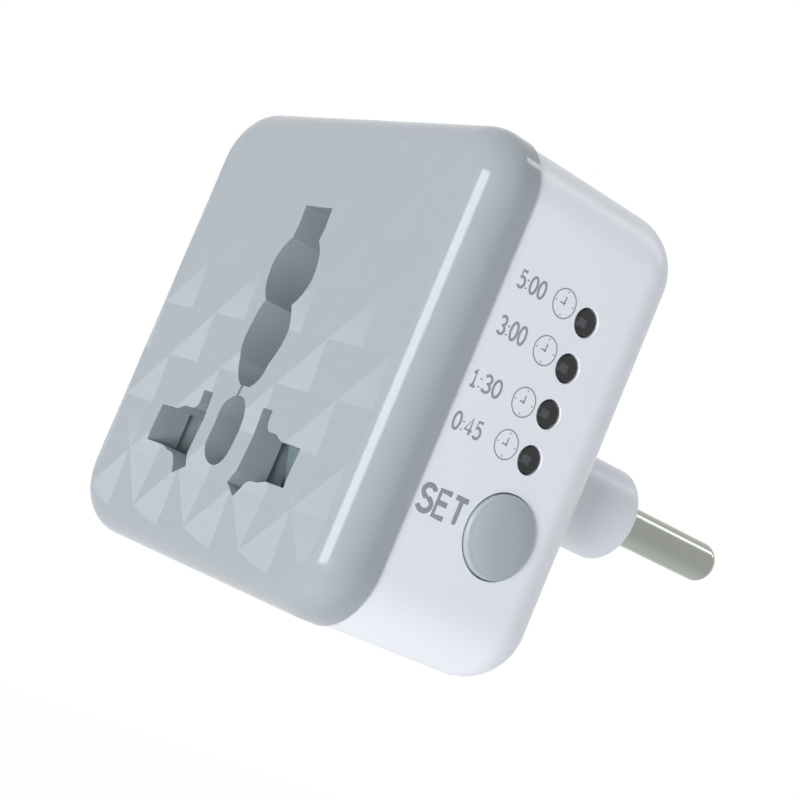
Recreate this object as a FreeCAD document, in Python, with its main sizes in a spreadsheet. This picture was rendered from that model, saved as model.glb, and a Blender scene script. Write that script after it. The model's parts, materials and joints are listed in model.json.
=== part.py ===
import FreeCAD, Part
import math
import os
import Sketcher
from FreeCAD import Rotation, Vector

# Plug in timer switch. X runs to the right seen from the socket face, Y runs into the wall, Z is up.
# The origin is on the housing's back face, midway between the two plug pins. Millimetres.

SIZES = {
    # outer shape
    "cover_width": 53.6,
    "cover_height": 52.6,
    "cover_corner": 7.0,
    "cover_edge_round": 4.4,
    "cover_side_depth": 6.1,
    "body_depth": 29.8,
    "body_inset": 0.3,
    "body_corner": 6.6,
    "body_edge_round": 6.4,
    # walls and joints of the shells
    "cover_side_wall": 1.2,
    "cover_face_wall": 2.0,
    "housing_wall": 2.2,
    "back_wall": 2.2,
    "cavity_corner": 3.0,
    "cavity_edge_round": 2.0,
    "lip_length": 2.3,
    "lip_gap": 0.1,
    "snap_offset": 12.0,
    "snap_width": 8.0,
    "snap_thickness": 1.0,
    "snap_reach": 0.6,
    "snap_gap": 0.15,
    # wall plug
    "plug_drop": 2.56,
    "pin_spacing": 19.0,
    "pin_diameter": 4.8,
    "pin_length": 18.6,
    "pin_tip_round": 1.6,
    "pin_stem_diameter": 4.0,
    "pin_head_diameter": 7.8,
    "pin_head_thickness": 1.3,
    "pin_tail_diameter": 2.4,
    "pin_tail_length": 2.4,
    "pin_bore_gap": 0.05,
    "post_diameter": 11.0,
    "post_length": 16.0,
    "post_edge_round": 1.2,
    # socket slots, measured from the centre of the face
    "slot_depth": 4.0,
    "contact_line": 12.95,
    "bar_slot_margin": 0.6,
    "bar_slot_height": 4.3,
    "round_slot_offset": 9.3,
    "round_slot_diameter": 5.4,
    "flat_slot_inner": 5.3,
    "flat_slot_outer": 7.2,
    "flat_slot_top": 7.96,
    "tilted_slot_foot": 5.45,
    "tilted_slot_drop": 17.0,
    "tilted_slot_width": 2.42,
    "tilted_slot_length": 6.5,
    "tilted_slot_angle": 30.0,
    "middle_slot_width": 5.1,
    "middle_slot_top": 7.45,
    "middle_slot_bottom": 15.35,
    "earth_slot_width": 5.2,
    "earth_slot_top": 14.45,
    "earth_slot_shoulder": 10.7,
    "upper_lobe_width": 8.6,
    "upper_lobe_height": 7.6,
    "neck_width": 5.3,
    "neck_height": 3.2,
    "lower_lobe_width": 7.6,
    "lower_lobe_drop": 0.3,
    "foot_lobe_width": 5.7,
    "foot_lobe_drop": 3.6,
    "earth_slot_bottom": 6.35,
    "slit_offset": 0.5,
    "slit_width": 0.45,
    "collar_wall": 0.5,
    # shutter
    "shutter_gap": 0.3,
    "shutter_travel": 9.9,
    "shutter_thickness": 4.3,
    "shutter_ramp_angle": 18.0,
    "shutter_inner": 4.9,
    "shutter_side_gap": 0.25,
    "shutter_top": 7.7,
    "shutter_bottom": 18.1,
    "shutter_bridge_height": 2.4,
    "shutter_spring_inset": 2.95,
    "shutter_spring_diameter": 3.2,
    "shutter_spring_wire": 0.4,
    "shutter_spring_turns": 8,
    "shutter_spring_closed": 10.4,
    # contact carrier
    "carrier_side_gap": 1.2,
    "carrier_top": 16.9,
    "carrier_bottom": 22.2,
    "carrier_foot_gap": 1.6,
    "carrier_plate": 1.4,
    "carrier_wall": 1.0,
    "carrier_rear": 20.0,
    "chamber_inner": 4.2,
    "chamber_top": 7.6,
    "chamber_bottom": 18.9,
    "earth_well_reach": 24.2,
    "column_diameter": 6.0,
    "screw_diameter": 2.5,
    "screw_head_diameter": 5.2,
    "screw_head_height": 1.4,
    "screw_recess": 2.3,
    "screw_length": 7.4,
    "clamp_thickness": 1.5,
    "clamp_width": 28.0,
    "clamp_height": 10.0,
    # pin contacts
    "contact_sheet": 0.6,
    "contact_base_half": 3.2,
    "contact_throat_half": 2.5,
    "contact_inner": 7.6,
    "contact_side_gap": 0.8,
    "contact_length": 8.6,
    "contact_throat": 6.0,
    "contact_lug_width": 1.2,
    "contact_lug_reach": 1.6,
    "contact_lug_half": 3.4,
    # control side
    "board_thickness": 1.6,
    "control_board_gap": 5.3,
    "board_front_gap": 10.0,
    "board_back_gap": 3.3,
    "control_board_bottom_gap": 3.8,
    "control_board_top_gap": 0.8,
    "control_rib_gap": 3.0,
    "control_rib_length": 9.4,
    "lamp_depth": 18.2,
    "lamp_top": 12.0,
    "lamp_pitch": 5.0,
    "lamp_hole_diameter": 3.1,
    "lamp_diameter": 2.95,
    "lamp_recess": 0.1,
    "lamp_dome_round": 0.75,
    "lamp_rim_diameter": 3.8,
    "lamp_rim_height": 0.9,
    "lamp_stand": 1.0,
    "lamp_leg_diameter": 0.5,
    "lamp_leg_spacing": 1.8,
    "button_depth": 18.3,
    "button_drop": 11.3,
    "button_diameter": 9.0,
    "button_gap": 0.15,
    "button_proud": 1.0,
    "button_edge_round": 0.6,
    "button_flange": 0.8,
    "button_travel": 0.35,
    "switch_width": 6.0,
    "switch_height": 3.5,
    "switch_plunger_diameter": 3.5,
    "chip_rise": 3.2,
    "chip_inset": 4.2,
    "chip_width": 4.0,
    "chip_length": 5.0,
    "chip_height": 1.5,
    "transistor_rise": 8.6,
    "transistor_diameter": 4.6,
    "transistor_flat": 1.2,
    "smoothing_rise": 13.5,
    "smoothing_diameter": 6.0,
    "smoothing_height": 10.5,
    "resistor_diameter": 2.2,
    "resistor_length": 6.2,
    "resistor_pitch": 2.6,
    # power side
    "power_board_gap": 0.3,
    "power_board_bottom": 13.0,
    "power_board_top_gap": 2.3,
    "power_rib_gap": 1.0,
    "power_rib_length": 3.0,
    "capacitor_rise": 4.0,
    "capacitor_width": 5.0,
    "capacitor_length": 13.0,
    "capacitor_height": 11.0,
    "disc_diameter": 6.0,
    "disc_thickness": 2.2,
    "fuse_diameter": 3.4,
    "fuse_length": 8.0,
    "fuse_rise": 2.0,
    "diode_diameter": 2.7,
    "diode_length": 5.2,
    "diode_rise": 5.5,
    "diode_pitch": 3.3,
    # relay
    "relay_width": 10.2,
    "relay_length": 18.4,
    "relay_well_gap": 1.5,
    "relay_wall": 0.7,
    "relay_base_height": 1.4,
    "relay_front_gap": 0.6,
    "coil_head_room": 5.1,
    "coil_rise": 5.6,
    "coil_diameter": 6.6,
    "coil_flange_diameter": 7.6,
    "coil_flange": 0.7,
    "coil_foot_gap": 0.6,
    "core_diameter": 2.7,
    "frame_sheet": 0.9,
    "frame_side_gap": 0.5,
    "frame_reach": 2.0,
    "armature_gap": 0.8,
    "armature_sheet": 0.8,
    "armature_reach": 4.2,
    "blade_width": 3.2,
    "blade_sheet": 0.25,
    "blade_end_gap": 1.2,
    "relay_contact_inset": 2.9,
    "relay_contact_diameter": 2.4,
    "relay_contact_drop": 1.75,
    "relay_post_half": 1.5,
    "relay_post_sheet": 0.8,
    # wires
    "wire_diameter": 1.2,
    "link_wire_diameter": 1.0,
    "link_wire_pitch": 1.3,
    "link_wire_gap": 0.8,
    "link_wire_drop": 1.1,
    "link_wire_roof": 1.6,
}

doc = FreeCAD.newDocument("TimerSwitch")
sheet = doc.addObject("Spreadsheet::Sheet", "Sizes")
for row, (alias, number) in enumerate(SIZES.items(), 1):
    sheet.set(f"A{row}", alias)
    sheet.set(f"B{row}", str(number))
    sheet.setAlias(f"B{row}", alias)
doc.recompute()


class Length:
    """A number together with the sheet formula that gives it."""

    def __init__(self, value, formula):
        self.value = value
        self.formula = formula

    def __add__(self, other):
        other = length(other)
        return Length(self.value + other.value, f"({self.formula} + {other.formula})")

    def __sub__(self, other):
        other = length(other)
        return Length(self.value - other.value, f"({self.formula} - {other.formula})")

    def __mul__(self, other):
        other = length(other)
        return Length(self.value * other.value, f"({self.formula} * {other.formula})")

    def __truediv__(self, other):
        other = length(other)
        return Length(self.value / other.value, f"({self.formula} / {other.formula})")

    def __rsub__(self, other):
        return length(other) - self

    def __neg__(self):
        return Length(-self.value, f"(0 - {self.formula})")

    __radd__ = __add__
    __rmul__ = __mul__


def length(item):
    """Give a plain number the same form as a sheet size."""
    return item if isinstance(item, Length) else Length(float(item), repr(float(item)))


class SheetSizes:
    """Every alias of the sheet as a Length."""

    def __init__(self, names):
        for name in names:
            setattr(self, name, Length(float(sheet.get(name)), f"Sizes.{name}"))


size = SheetSizes(SIZES)
TURN = {"x": Rotation(Vector(0, 1, 0), 90), "y": Rotation(Vector(1, 0, 0), -90), "z": Rotation()}
ACROSS = {"x": "yz", "y": "xz", "z": "xy"}


def box(name, x, y, z):
    """A box between two planes on each axis."""
    block = doc.addObject("Part::Box", name)
    for side, axis, (low, high) in (("Length", "x", x), ("Width", "y", y), ("Height", "z", z)):
        block.setExpression(side, (length(high) - low).formula)
        block.setExpression(f"Placement.Base.{axis}", length(low).formula)
    return block


def cylinder(name, axis, centre, span, diameter):
    """A round bar along one axis."""
    low, high = span
    bar = doc.addObject("Part::Cylinder", name)
    bar.Placement.Rotation = TURN[axis]
    bar.setExpression("Height", (length(high) - low).formula)
    bar.setExpression("Radius", (length(diameter) / 2).formula)
    bar.setExpression(f"Placement.Base.{axis}", length(low).formula)
    for other, place in zip(ACROSS[axis], centre):
        bar.setExpression(f"Placement.Base.{other}", length(place).formula)
    return bar


def fuse(name, *pieces):
    """One solid of several."""
    joined = doc.addObject("Part::MultiFuse", name)
    joined.Shapes = list(pieces)
    joined.Refine = True
    return joined


def cut(name, base, *tools):
    """The base less every tool."""
    result = doc.addObject("Part::Cut", name)
    result.Base = base
    result.Tool = tools[0] if len(tools) == 1 else fuse(f"{name}_tools", *tools)
    result.Refine = True
    return result


def on_side(sign, inner, outer):
    """The span between two distances from the middle, on the left or the right."""
    low, high = length(inner) * sign, length(outer) * sign
    return (low, high) if sign > 0 else (high, low)


def group(name, *pieces):
    """Separate solids that share one node."""
    together = doc.addObject("Part::Compound", name)
    together.Links = list(pieces)
    return together


def origin_plane(body, role):
    """The body's own origin plane of that role."""
    return next(plane for plane in body.Origin.OriginFeatures if plane.Role == role)


def outline(body, name, role, offset, corners, arcs=None):
    """A closed sketch through corners; arcs maps a side's number to a point that the side bends through."""
    arcs = arcs or {}
    sketch = body.newObject("Sketcher::SketchObject", name)
    sketch.AttachmentSupport = [(origin_plane(body, role), "")]
    sketch.MapMode = "FlatFace"
    sketch.setExpression("AttachmentOffset.Base.z", length(offset).formula)
    corners = [(length(across), length(up)) for across, up in corners]
    flat = [Vector(across.value, up.value, 0) for across, up in corners]
    ends = []
    for number, start in enumerate(flat):
        stop = flat[(number + 1) % len(flat)]
        if number not in arcs:
            ends.append((sketch.addGeometry(Part.LineSegment(start, stop), False), 1, 2))
            continue
        through = Vector(*(length(value).value for value in arcs[number]), 0)
        circle = Part.Circle(start, through, stop)
        turn = (through - start).cross(stop - through).z
        first, last = (start, stop) if turn > 0 else (stop, start)
        angles = [math.atan2(end.y - circle.Center.y, end.x - circle.Center.x) for end in (first, last)]
        if angles[1] < angles[0]:
            angles[1] += 2 * math.pi
        ring = Part.Circle(circle.Center, Vector(0, 0, 1), circle.Radius)
        side = sketch.addGeometry(Part.ArcOfCircle(ring, *angles), False)
        ends.append((side, 1, 2) if turn > 0 else (side, 2, 1))
    for number, (side, start, stop) in enumerate(ends):
        following = ends[(number + 1) % len(ends)]
        sketch.addConstraint(Sketcher.Constraint("Coincident", side, stop, following[0], following[1]))
    for (side, start, stop), (across, up) in zip(ends, corners):
        pin_point(sketch, side, start, across, up)
    for number, (across, up) in arcs.items():
        across, up = length(across), length(up)
        mark = sketch.addGeometry(Part.Point(Vector(across.value, up.value, 0)), True)
        pin_point(sketch, mark, 1, across, up)
        sketch.addConstraint(Sketcher.Constraint("PointOnObject", mark, 1, ends[number][0]))
    return sketch


def pin_point(sketch, geometry, end, across, up):
    """Tie one point of a sketch to the sheet."""
    for kind, place in (("DistanceX", across), ("DistanceY", up)):
        index = sketch.addConstraint(Sketcher.Constraint(kind, -1, 1, geometry, end, place.value))
        sketch.setExpression(f"Constraints[{index}]", place.formula)


def padded(name, role, offset, depth, corners, arcs=None):
    """A body with one closed outline padded to a depth."""
    body = doc.addObject("PartDesign::Body", name)
    sketch = outline(body, f"{name}_outline", role, offset, corners, arcs)
    pad = body.newObject("PartDesign::Pad", f"{name}_pad")
    pad.Profile = sketch
    pad.setExpression("Length", length(depth).formula)
    doc.recompute()
    return body


def rounded(body, name, radius, belongs):
    """Round those edges of a body that belong."""
    base = body.Tip
    names = [f"Edge{number}" for number, edge in enumerate(base.Shape.Edges, 1) if belongs(edge)]
    fillet = body.newObject("PartDesign::Fillet", name)
    fillet.Base = (base, names)
    fillet.setExpression("Radius", length(radius).formula)
    doc.recompute()
    return fillet


def runs_along_y(edge):
    """True for a straight edge along Y."""
    first, last = edge.Vertexes[0].Point, edge.Vertexes[-1].Point
    return abs(first.x - last.x) + abs(first.z - last.z) < 1e-6 and abs(first.y - last.y) > 1e-6


def lies_at(axis, place):
    """A test for edges that lie in one plane."""
    return lambda edge: all(abs(getattr(v.Point, axis) - place) < 1e-6 for v in edge.Vertexes)


def slab(name, half_width, half_height, front, back, corner):
    """A block centred on the face, its four long corners rounded."""
    body = padded(
        name,
        "XZ_Plane",
        -length(back),
        length(back) - front,
        [
            (-half_width, face_z - half_height),
            (half_width, face_z - half_height),
            (half_width, face_z + half_height),
            (-half_width, face_z + half_height),
        ],
    )
    rounded(body, f"{name}_corners", corner, runs_along_y)
    return body


def round_bar(name, axis, centre, span, diameter, edge_round):
    """A round bar whose far edge is rounded."""
    low, high = length(span[0]), length(span[1])
    body = doc.addObject("PartDesign::Body", name)
    role = {"x": "YZ_Plane", "y": "XZ_Plane"}[axis]
    sketch = body.newObject("Sketcher::SketchObject", f"{name}_outline")
    sketch.AttachmentSupport = [(origin_plane(body, role), "")]
    sketch.MapMode = "FlatFace"
    sketch.setExpression("AttachmentOffset.Base.z", (low if axis == "x" else -high).formula)
    across, up = (length(place) for place in centre)
    ring = Part.Circle(Vector(across.value, up.value, 0), Vector(0, 0, 1), length(diameter).value / 2)
    sketch.addGeometry(ring, False)
    index = sketch.addConstraint(Sketcher.Constraint("Diameter", 0, length(diameter).value))
    sketch.setExpression(f"Constraints[{index}]", length(diameter).formula)
    pin_point(sketch, 0, 3, across, up)
    pad = body.newObject("PartDesign::Pad", f"{name}_pad")
    pad.Profile = sketch
    pad.setExpression("Length", (high - low).formula)
    doc.recompute()
    rounded(body, f"{name}_edge", edge_round, lies_at(axis, high.value))
    return body


def tube(name, points, diameter):
    """A wire of straight runs joined by tangent arcs."""
    points = [Vector(*point) for point in points]
    places = [points[0]]
    edges = []
    for before, corner, after in zip(points, points[1:], points[2:]):
        into = (corner - before).normalize()
        out = (after - corner).normalize()
        reach = 0.45 * min(before.distanceToPoint(corner), corner.distanceToPoint(after))
        radius = reach / math.tan(into.getAngle(out) / 2)
        start, stop = corner - into * reach, corner + out * reach
        inward = (out - into).normalize()
        centre = corner + inward * math.hypot(reach, radius)
        middle = centre - inward * radius
        edges.append(Part.LineSegment(places[-1], start).toShape())
        edges.append(Part.Arc(start, middle, stop).toShape())
        places.append(stop)
    edges.append(Part.LineSegment(places[-1], points[-1]).toShape())
    path = Part.Wire(edges)
    ring = Part.Circle(points[0], points[1] - points[0], length(diameter).value / 2)
    wire = doc.addObject("Part::Feature", name)
    wire.Shape = path.makePipeShell([Part.Wire(ring.toShape())], True, False)
    return wire


def coil(name, foot, mean_diameter, wire_diameter, turns, rise):
    """An unbroken compression spring along Z, its turns in quarter arcs."""
    steps = int(turns * 4)
    radius = mean_diameter / 2

    def place(step):
        angle = math.pi / 2 * step
        return foot + Vector(radius * math.cos(angle), radius * math.sin(angle), rise * step / steps)

    edges = [Part.Arc(place(k), place(k + 0.5), place(k + 1)).toShape() for k in range(steps)]
    path = Part.Wire(edges)
    ring = Part.Circle(place(0), edges[0].tangentAt(edges[0].FirstParameter), wire_diameter / 2)
    spring = doc.addObject("Part::Feature", name)
    spring.Shape = path.makePipeShell([Part.Wire(ring.toShape())], True, False)
    return spring


# Planes that many pieces share
face_z = size.plug_drop
half_width = size.cover_width / 2
half_height = size.cover_height / 2
front = -size.body_depth
seam = front + size.cover_side_depth
face_inside = front + size.cover_face_wall
slot_floor = front + size.slot_depth
cavity_half_width = half_width - size.body_inset - size.housing_wall
cavity_half_height = half_height - size.body_inset - size.housing_wall
back_inside = -size.back_wall
side_outside = half_width - size.body_inset
pin_x = size.pin_spacing / 2
socket_z = face_z - cavity_half_height + size.carrier_foot_gap + size.carrier_bottom
contact_z = socket_z - size.contact_line
control_face = cavity_half_width - size.control_board_gap
control_back = control_face - size.board_thickness
control_low = face_z - cavity_half_height + size.control_board_bottom_gap
control_high = face_z + cavity_half_height - size.control_board_top_gap
power_face = cavity_half_width - size.power_board_gap - size.board_thickness
power_low = face_z - size.power_board_bottom
power_high = face_z + cavity_half_height - size.power_board_top_gap
pin_head_front = back_inside - size.pin_head_thickness
shutter_front = slot_floor + size.shutter_gap
shutter_back = shutter_front + size.shutter_thickness
carrier_front = shutter_back + size.shutter_gap
carrier_back = front + size.carrier_rear
carrier_half = control_back - size.carrier_side_gap
carrier_low = socket_z - size.carrier_bottom
carrier_high = socket_z + size.carrier_top
chamber_side = carrier_half - size.carrier_wall
contact_outer = chamber_side - size.contact_side_gap
well_half = size.upper_lobe_width / 2 + 0.3
well_side = well_half + size.carrier_wall
clamp_back = pin_head_front - 0.1
clamp_front = clamp_back - size.clamp_thickness
lug_back = carrier_back + size.contact_lug_reach


def socket_slots(name, depth_front, depth_back):
    """Cutters for every slot of the universal socket."""
    cutters = []
    for side, sign in (("left", -1), ("right", 1)):
        bar_z = (contact_z - size.bar_slot_height / 2, contact_z + size.bar_slot_height / 2)
        depth = (depth_front, depth_back)
        bar_x = on_side(sign, size.flat_slot_inner, chamber_side - size.bar_slot_margin)
        cutters.append(box(f"{name}_{side}_bar", bar_x, depth, bar_z))
        round_centre = (size.round_slot_offset * sign, contact_z)
        cutters.append(cylinder(f"{name}_{side}_round", "y", round_centre, depth, size.round_slot_diameter))
        flat_z = (bar_z[0] + 0.4, socket_z - size.flat_slot_top)
        flat_x = on_side(sign, size.flat_slot_inner, size.flat_slot_outer)
        cutters.append(box(f"{name}_{side}_flat", flat_x, depth, flat_z))
        tilt = math.radians(size.tilted_slot_angle.value)
        rise = (math.sin(tilt), math.cos(tilt))
        corners = []
        for along, across in ((0, -0.5), (0, 0.5), (1, 0.5), (1, -0.5)):
            out = size.tilted_slot_length * (along * rise[0]) + size.tilted_slot_width * (across * rise[1])
            up = size.tilted_slot_length * (along * rise[1]) - size.tilted_slot_width * (across * rise[0])
            corners.append(((size.tilted_slot_foot + out) * sign, socket_z - size.tilted_slot_drop + up))
        cutters.append(
            padded(f"{name}_{side}_tilted", "XZ_Plane", -depth_back, depth_back - depth_front, corners)
        )
    half = size.middle_slot_width / 2
    depth = (depth_front, depth_back)
    middle_z = (socket_z - size.middle_slot_bottom + half, socket_z - size.middle_slot_top - half)
    for end, z in zip(("bottom", "top"), middle_z):
        cutters.append(cylinder(f"{name}_middle_{end}", "y", (0, z), depth, size.middle_slot_width))
    cutters.append(box(f"{name}_middle", (-half, half), depth, middle_z))
    slit_x = (-size.slit_offset - size.slit_width / 2, -size.slit_offset + size.slit_width / 2)
    slit_z = (socket_z - size.middle_slot_top - 0.4, socket_z - size.earth_slot_bottom + 0.4)
    cutters.append(box(f"{name}_slit", slit_x, depth, slit_z))
    cutters.append(earth_outline(f"{name}_earth", depth_front, depth_back))
    return cutters


def earth_outline(name, depth_front, depth_back, wall=0):
    """The tall slot, or a wall round it: a bar slot over two lobes and a round foot."""
    right = [
        (size.earth_slot_width / 2 + wall, socket_z + size.earth_slot_top + wall),
        (size.earth_slot_width / 2 + wall, socket_z + size.earth_slot_shoulder),
        (size.neck_width / 2 + wall, socket_z + size.neck_height),
        (size.foot_lobe_width / 2 + wall, socket_z - size.foot_lobe_drop),
    ]
    left = [(-across, up) for across, up in reversed(right)]
    upper = (size.upper_lobe_width / 2 + wall, socket_z + size.upper_lobe_height)
    lower = (size.lower_lobe_width / 2 + wall, socket_z - size.lower_lobe_drop)
    arcs = {
        1: upper,
        2: lower,
        3: (length(0), socket_z - size.earth_slot_bottom - wall),
        4: (-lower[0], lower[1]),
        5: (-upper[0], upper[1]),
    }
    return padded(name, "XZ_Plane", -depth_back, depth_back - depth_front, right + left, arcs)


def make_front_cover():
    """Grey socket cover: shallow cap, pad behind the slots, collar round the tall slot, four tongues."""
    shell = slab("cover_shell", half_width, half_height, front, seam, size.cover_corner)
    rounded(shell, "cover_rim", size.cover_edge_round, lies_at("y", front.value))
    inner = slab(
        "cover_hollow",
        half_width - size.cover_side_wall,
        half_height - size.cover_side_wall,
        face_inside,
        seam + 1,
        size.cover_corner - size.cover_side_wall,
    )
    inner_round = size.cover_edge_round - size.cover_face_wall
    rounded(inner, "cover_hollow_rim", inner_round, lies_at("y", face_inside.value))
    hollow = cut("cover_cap", shell, inner)
    pieces = [hollow]
    pad_x = (-carrier_half, carrier_half)
    pieces.append(box("cover_pad", pad_x, (face_inside - 0.3, slot_floor), (carrier_low, carrier_high)))
    collar_end = carrier_front - size.snap_gap
    pieces.append(earth_outline("cover_collar", slot_floor - 0.5, collar_end, size.collar_wall))
    for side, sign in (("top", 1), ("bottom", -1)):
        for hand, x in (("left", -size.snap_offset), ("right", size.snap_offset)):
            tongue_x = (x - size.snap_width / 2, x + size.snap_width / 2)
            edge = cavity_half_height - size.snap_gap
            spans = {
                "tongue": ((face_inside - 0.3, seam + 3.0), (edge - size.snap_thickness, edge)),
                "barb": ((seam + 1.4, seam + 2.6), (edge - 0.2, edge + size.snap_reach)),
            }
            for part, (y, (low, high)) in spans.items():
                z = (face_z + low, face_z + high) if sign > 0 else (face_z - high, face_z - low)
                pieces.append(box(f"cover_{side}_{hand}_{part}", tongue_x, y, z))
    whole = fuse("cover_whole", *pieces)
    return cut("front_cover", whole, *socket_slots("cover_slot", front - 1, carrier_front))


def make_main_housing():
    """White shell with the two plug posts, lamp holes, button hole and board ribs."""
    outer_x, outer_z = side_outside, half_height - size.body_inset
    shell = slab("housing_shell", outer_x, outer_z, seam, length(0), size.body_corner)
    rounded(shell, "housing_rim", size.body_edge_round, lies_at("y", 0.0))
    lip = slab(
        "housing_lip",
        half_width - size.cover_side_wall - size.lip_gap,
        half_height - size.cover_side_wall - size.lip_gap,
        seam - size.lip_length,
        seam + 1,
        size.cover_corner - size.cover_side_wall - size.lip_gap,
    )
    cavity = slab(
        "housing_cavity",
        cavity_half_width,
        cavity_half_height,
        seam - size.lip_length - 1,
        back_inside,
        size.cavity_corner,
    )
    rounded(cavity, "housing_cavity_rim", size.cavity_edge_round, lies_at("y", back_inside.value))
    shell_open = cut("housing_open", fuse("housing_outer", shell, lip), cavity)
    pieces = [shell_open]
    tools = []
    for side, x in (("left", -pin_x), ("right", pin_x)):
        post = round_bar(
            f"housing_{side}_post", "y", (x, 0), (back_inside / 2, size.post_length),
            size.post_diameter, size.post_edge_round,
        )
        pieces.append(post)
        bore = (back_inside - 0.5, size.post_length + 1)
        bore_diameter = size.pin_stem_diameter + 2 * size.pin_bore_gap
        tools.append(cylinder(f"housing_{side}_bore", "y", (x, 0), bore, bore_diameter))
    boss_front = pin_head_front + 0.05
    boss = (boss_front, back_inside / 2)
    pieces.append(cylinder("housing_boss", "y", (0, 0), boss, size.column_diameter + 2))
    recess = (-size.screw_recess, 1)
    tools.append(cylinder("housing_recess", "y", (0, 0), recess, size.screw_head_diameter + 0.4))
    tools.append(cylinder("housing_screw_hole", "y", (0, 0), (boss_front - 1, 0), size.screw_diameter + 0.4))
    rib_y = (-size.board_back_gap - 1.2, back_inside / 2)
    control_rib_low = control_low + size.control_rib_gap
    control_rib_z = (control_rib_low, control_rib_low + size.control_rib_length)
    power_rib_high = power_high - size.power_rib_gap
    power_rib_z = (power_rib_high - size.power_rib_length, power_rib_high)
    for name, low, z in (
        ("control_inner", control_back - 1.0, control_rib_z),
        ("control_outer", control_face + 0.1, control_rib_z),
        ("power_inner", -power_face + 0.1, power_rib_z),
    ):
        pieces.append(box(f"housing_{name}_rib", (low, low + 0.9), rib_y, z))
    through_wall = (cavity_half_width - 1, side_outside + 1)
    for number, z in enumerate(lamp_heights(), 1):
        centre = (front + size.lamp_depth, z)
        name = f"housing_lamp_hole_{number}"
        tools.append(cylinder(name, "x", centre, through_wall, size.lamp_hole_diameter))
    button_hole = size.button_diameter + 2 * size.button_gap
    tools.append(cylinder("housing_button_hole", "x", button_centre, through_wall, button_hole))
    for side, sign in (("top", 1), ("bottom", -1)):
        for hand, x in (("left", -size.snap_offset), ("right", size.snap_offset)):
            half = size.snap_width / 2 + size.snap_gap
            low, high = cavity_half_height - 1, cavity_half_height + size.snap_reach + size.snap_gap
            z = (face_z + low, face_z + high) if sign > 0 else (face_z - high, face_z - low)
            y = (seam + 1.4 - size.snap_gap, seam + 2.6 + size.snap_gap)
            tools.append(box(f"housing_{side}_{hand}_window", (x - half, x + half), y, z))
    return cut("main_housing", fuse("housing_whole", *pieces), *tools)


def lamp_heights():
    """Heights of the four lamps, from the top."""
    return [face_z + size.lamp_top - size.lamp_pitch * number for number in range(4)]


button_centre = (front + size.button_depth, face_z - size.button_drop)
flange_top = cavity_half_width - 0.1
flange_foot = flange_top - size.button_flange
switch_top = control_face + size.switch_height


def make_plug_pin(name, x):
    """A plug pin: free end, thinner stem in the post, riveted head inside and a tail for its wire."""
    tip = size.post_length + size.pin_length
    span = (size.post_length, tip)
    shank = round_bar(f"{name}_shank", "y", (x, 0), span, size.pin_diameter, size.pin_tip_round)
    stem_y = (back_inside - 0.3, size.post_length + 0.5)
    stem = cylinder(f"{name}_stem", "y", (x, 0), stem_y, size.pin_stem_diameter)
    head = cylinder(f"{name}_head", "y", (x, 0), (pin_head_front, back_inside), size.pin_head_diameter)
    tail = (pin_head_front - size.pin_tail_length, pin_head_front + 0.4)
    return fuse(name, shank, stem, head, cylinder(f"{name}_tail", "y", (x, 0), tail, size.pin_tail_diameter))


def make_clamp_plate():
    """The plate behind the pin heads, held by the carrier screw."""
    plate = box(
        "clamp_blank",
        (-size.clamp_width / 2, size.clamp_width / 2),
        (clamp_front, clamp_back),
        (-size.clamp_height / 2, size.clamp_height / 2),
    )
    through = (clamp_front - 1, clamp_back + 1)
    tools = [cylinder("clamp_screw_hole", "y", (0, 0), through, size.screw_diameter + 0.4)]
    for side, x in (("left", -pin_x), ("right", pin_x)):
        tools.append(cylinder(f"clamp_{side}_hole", "y", (x, 0), through, size.pin_tail_diameter + 0.4))
    return cut("pin_clamp_plate", plate, *tools)


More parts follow.
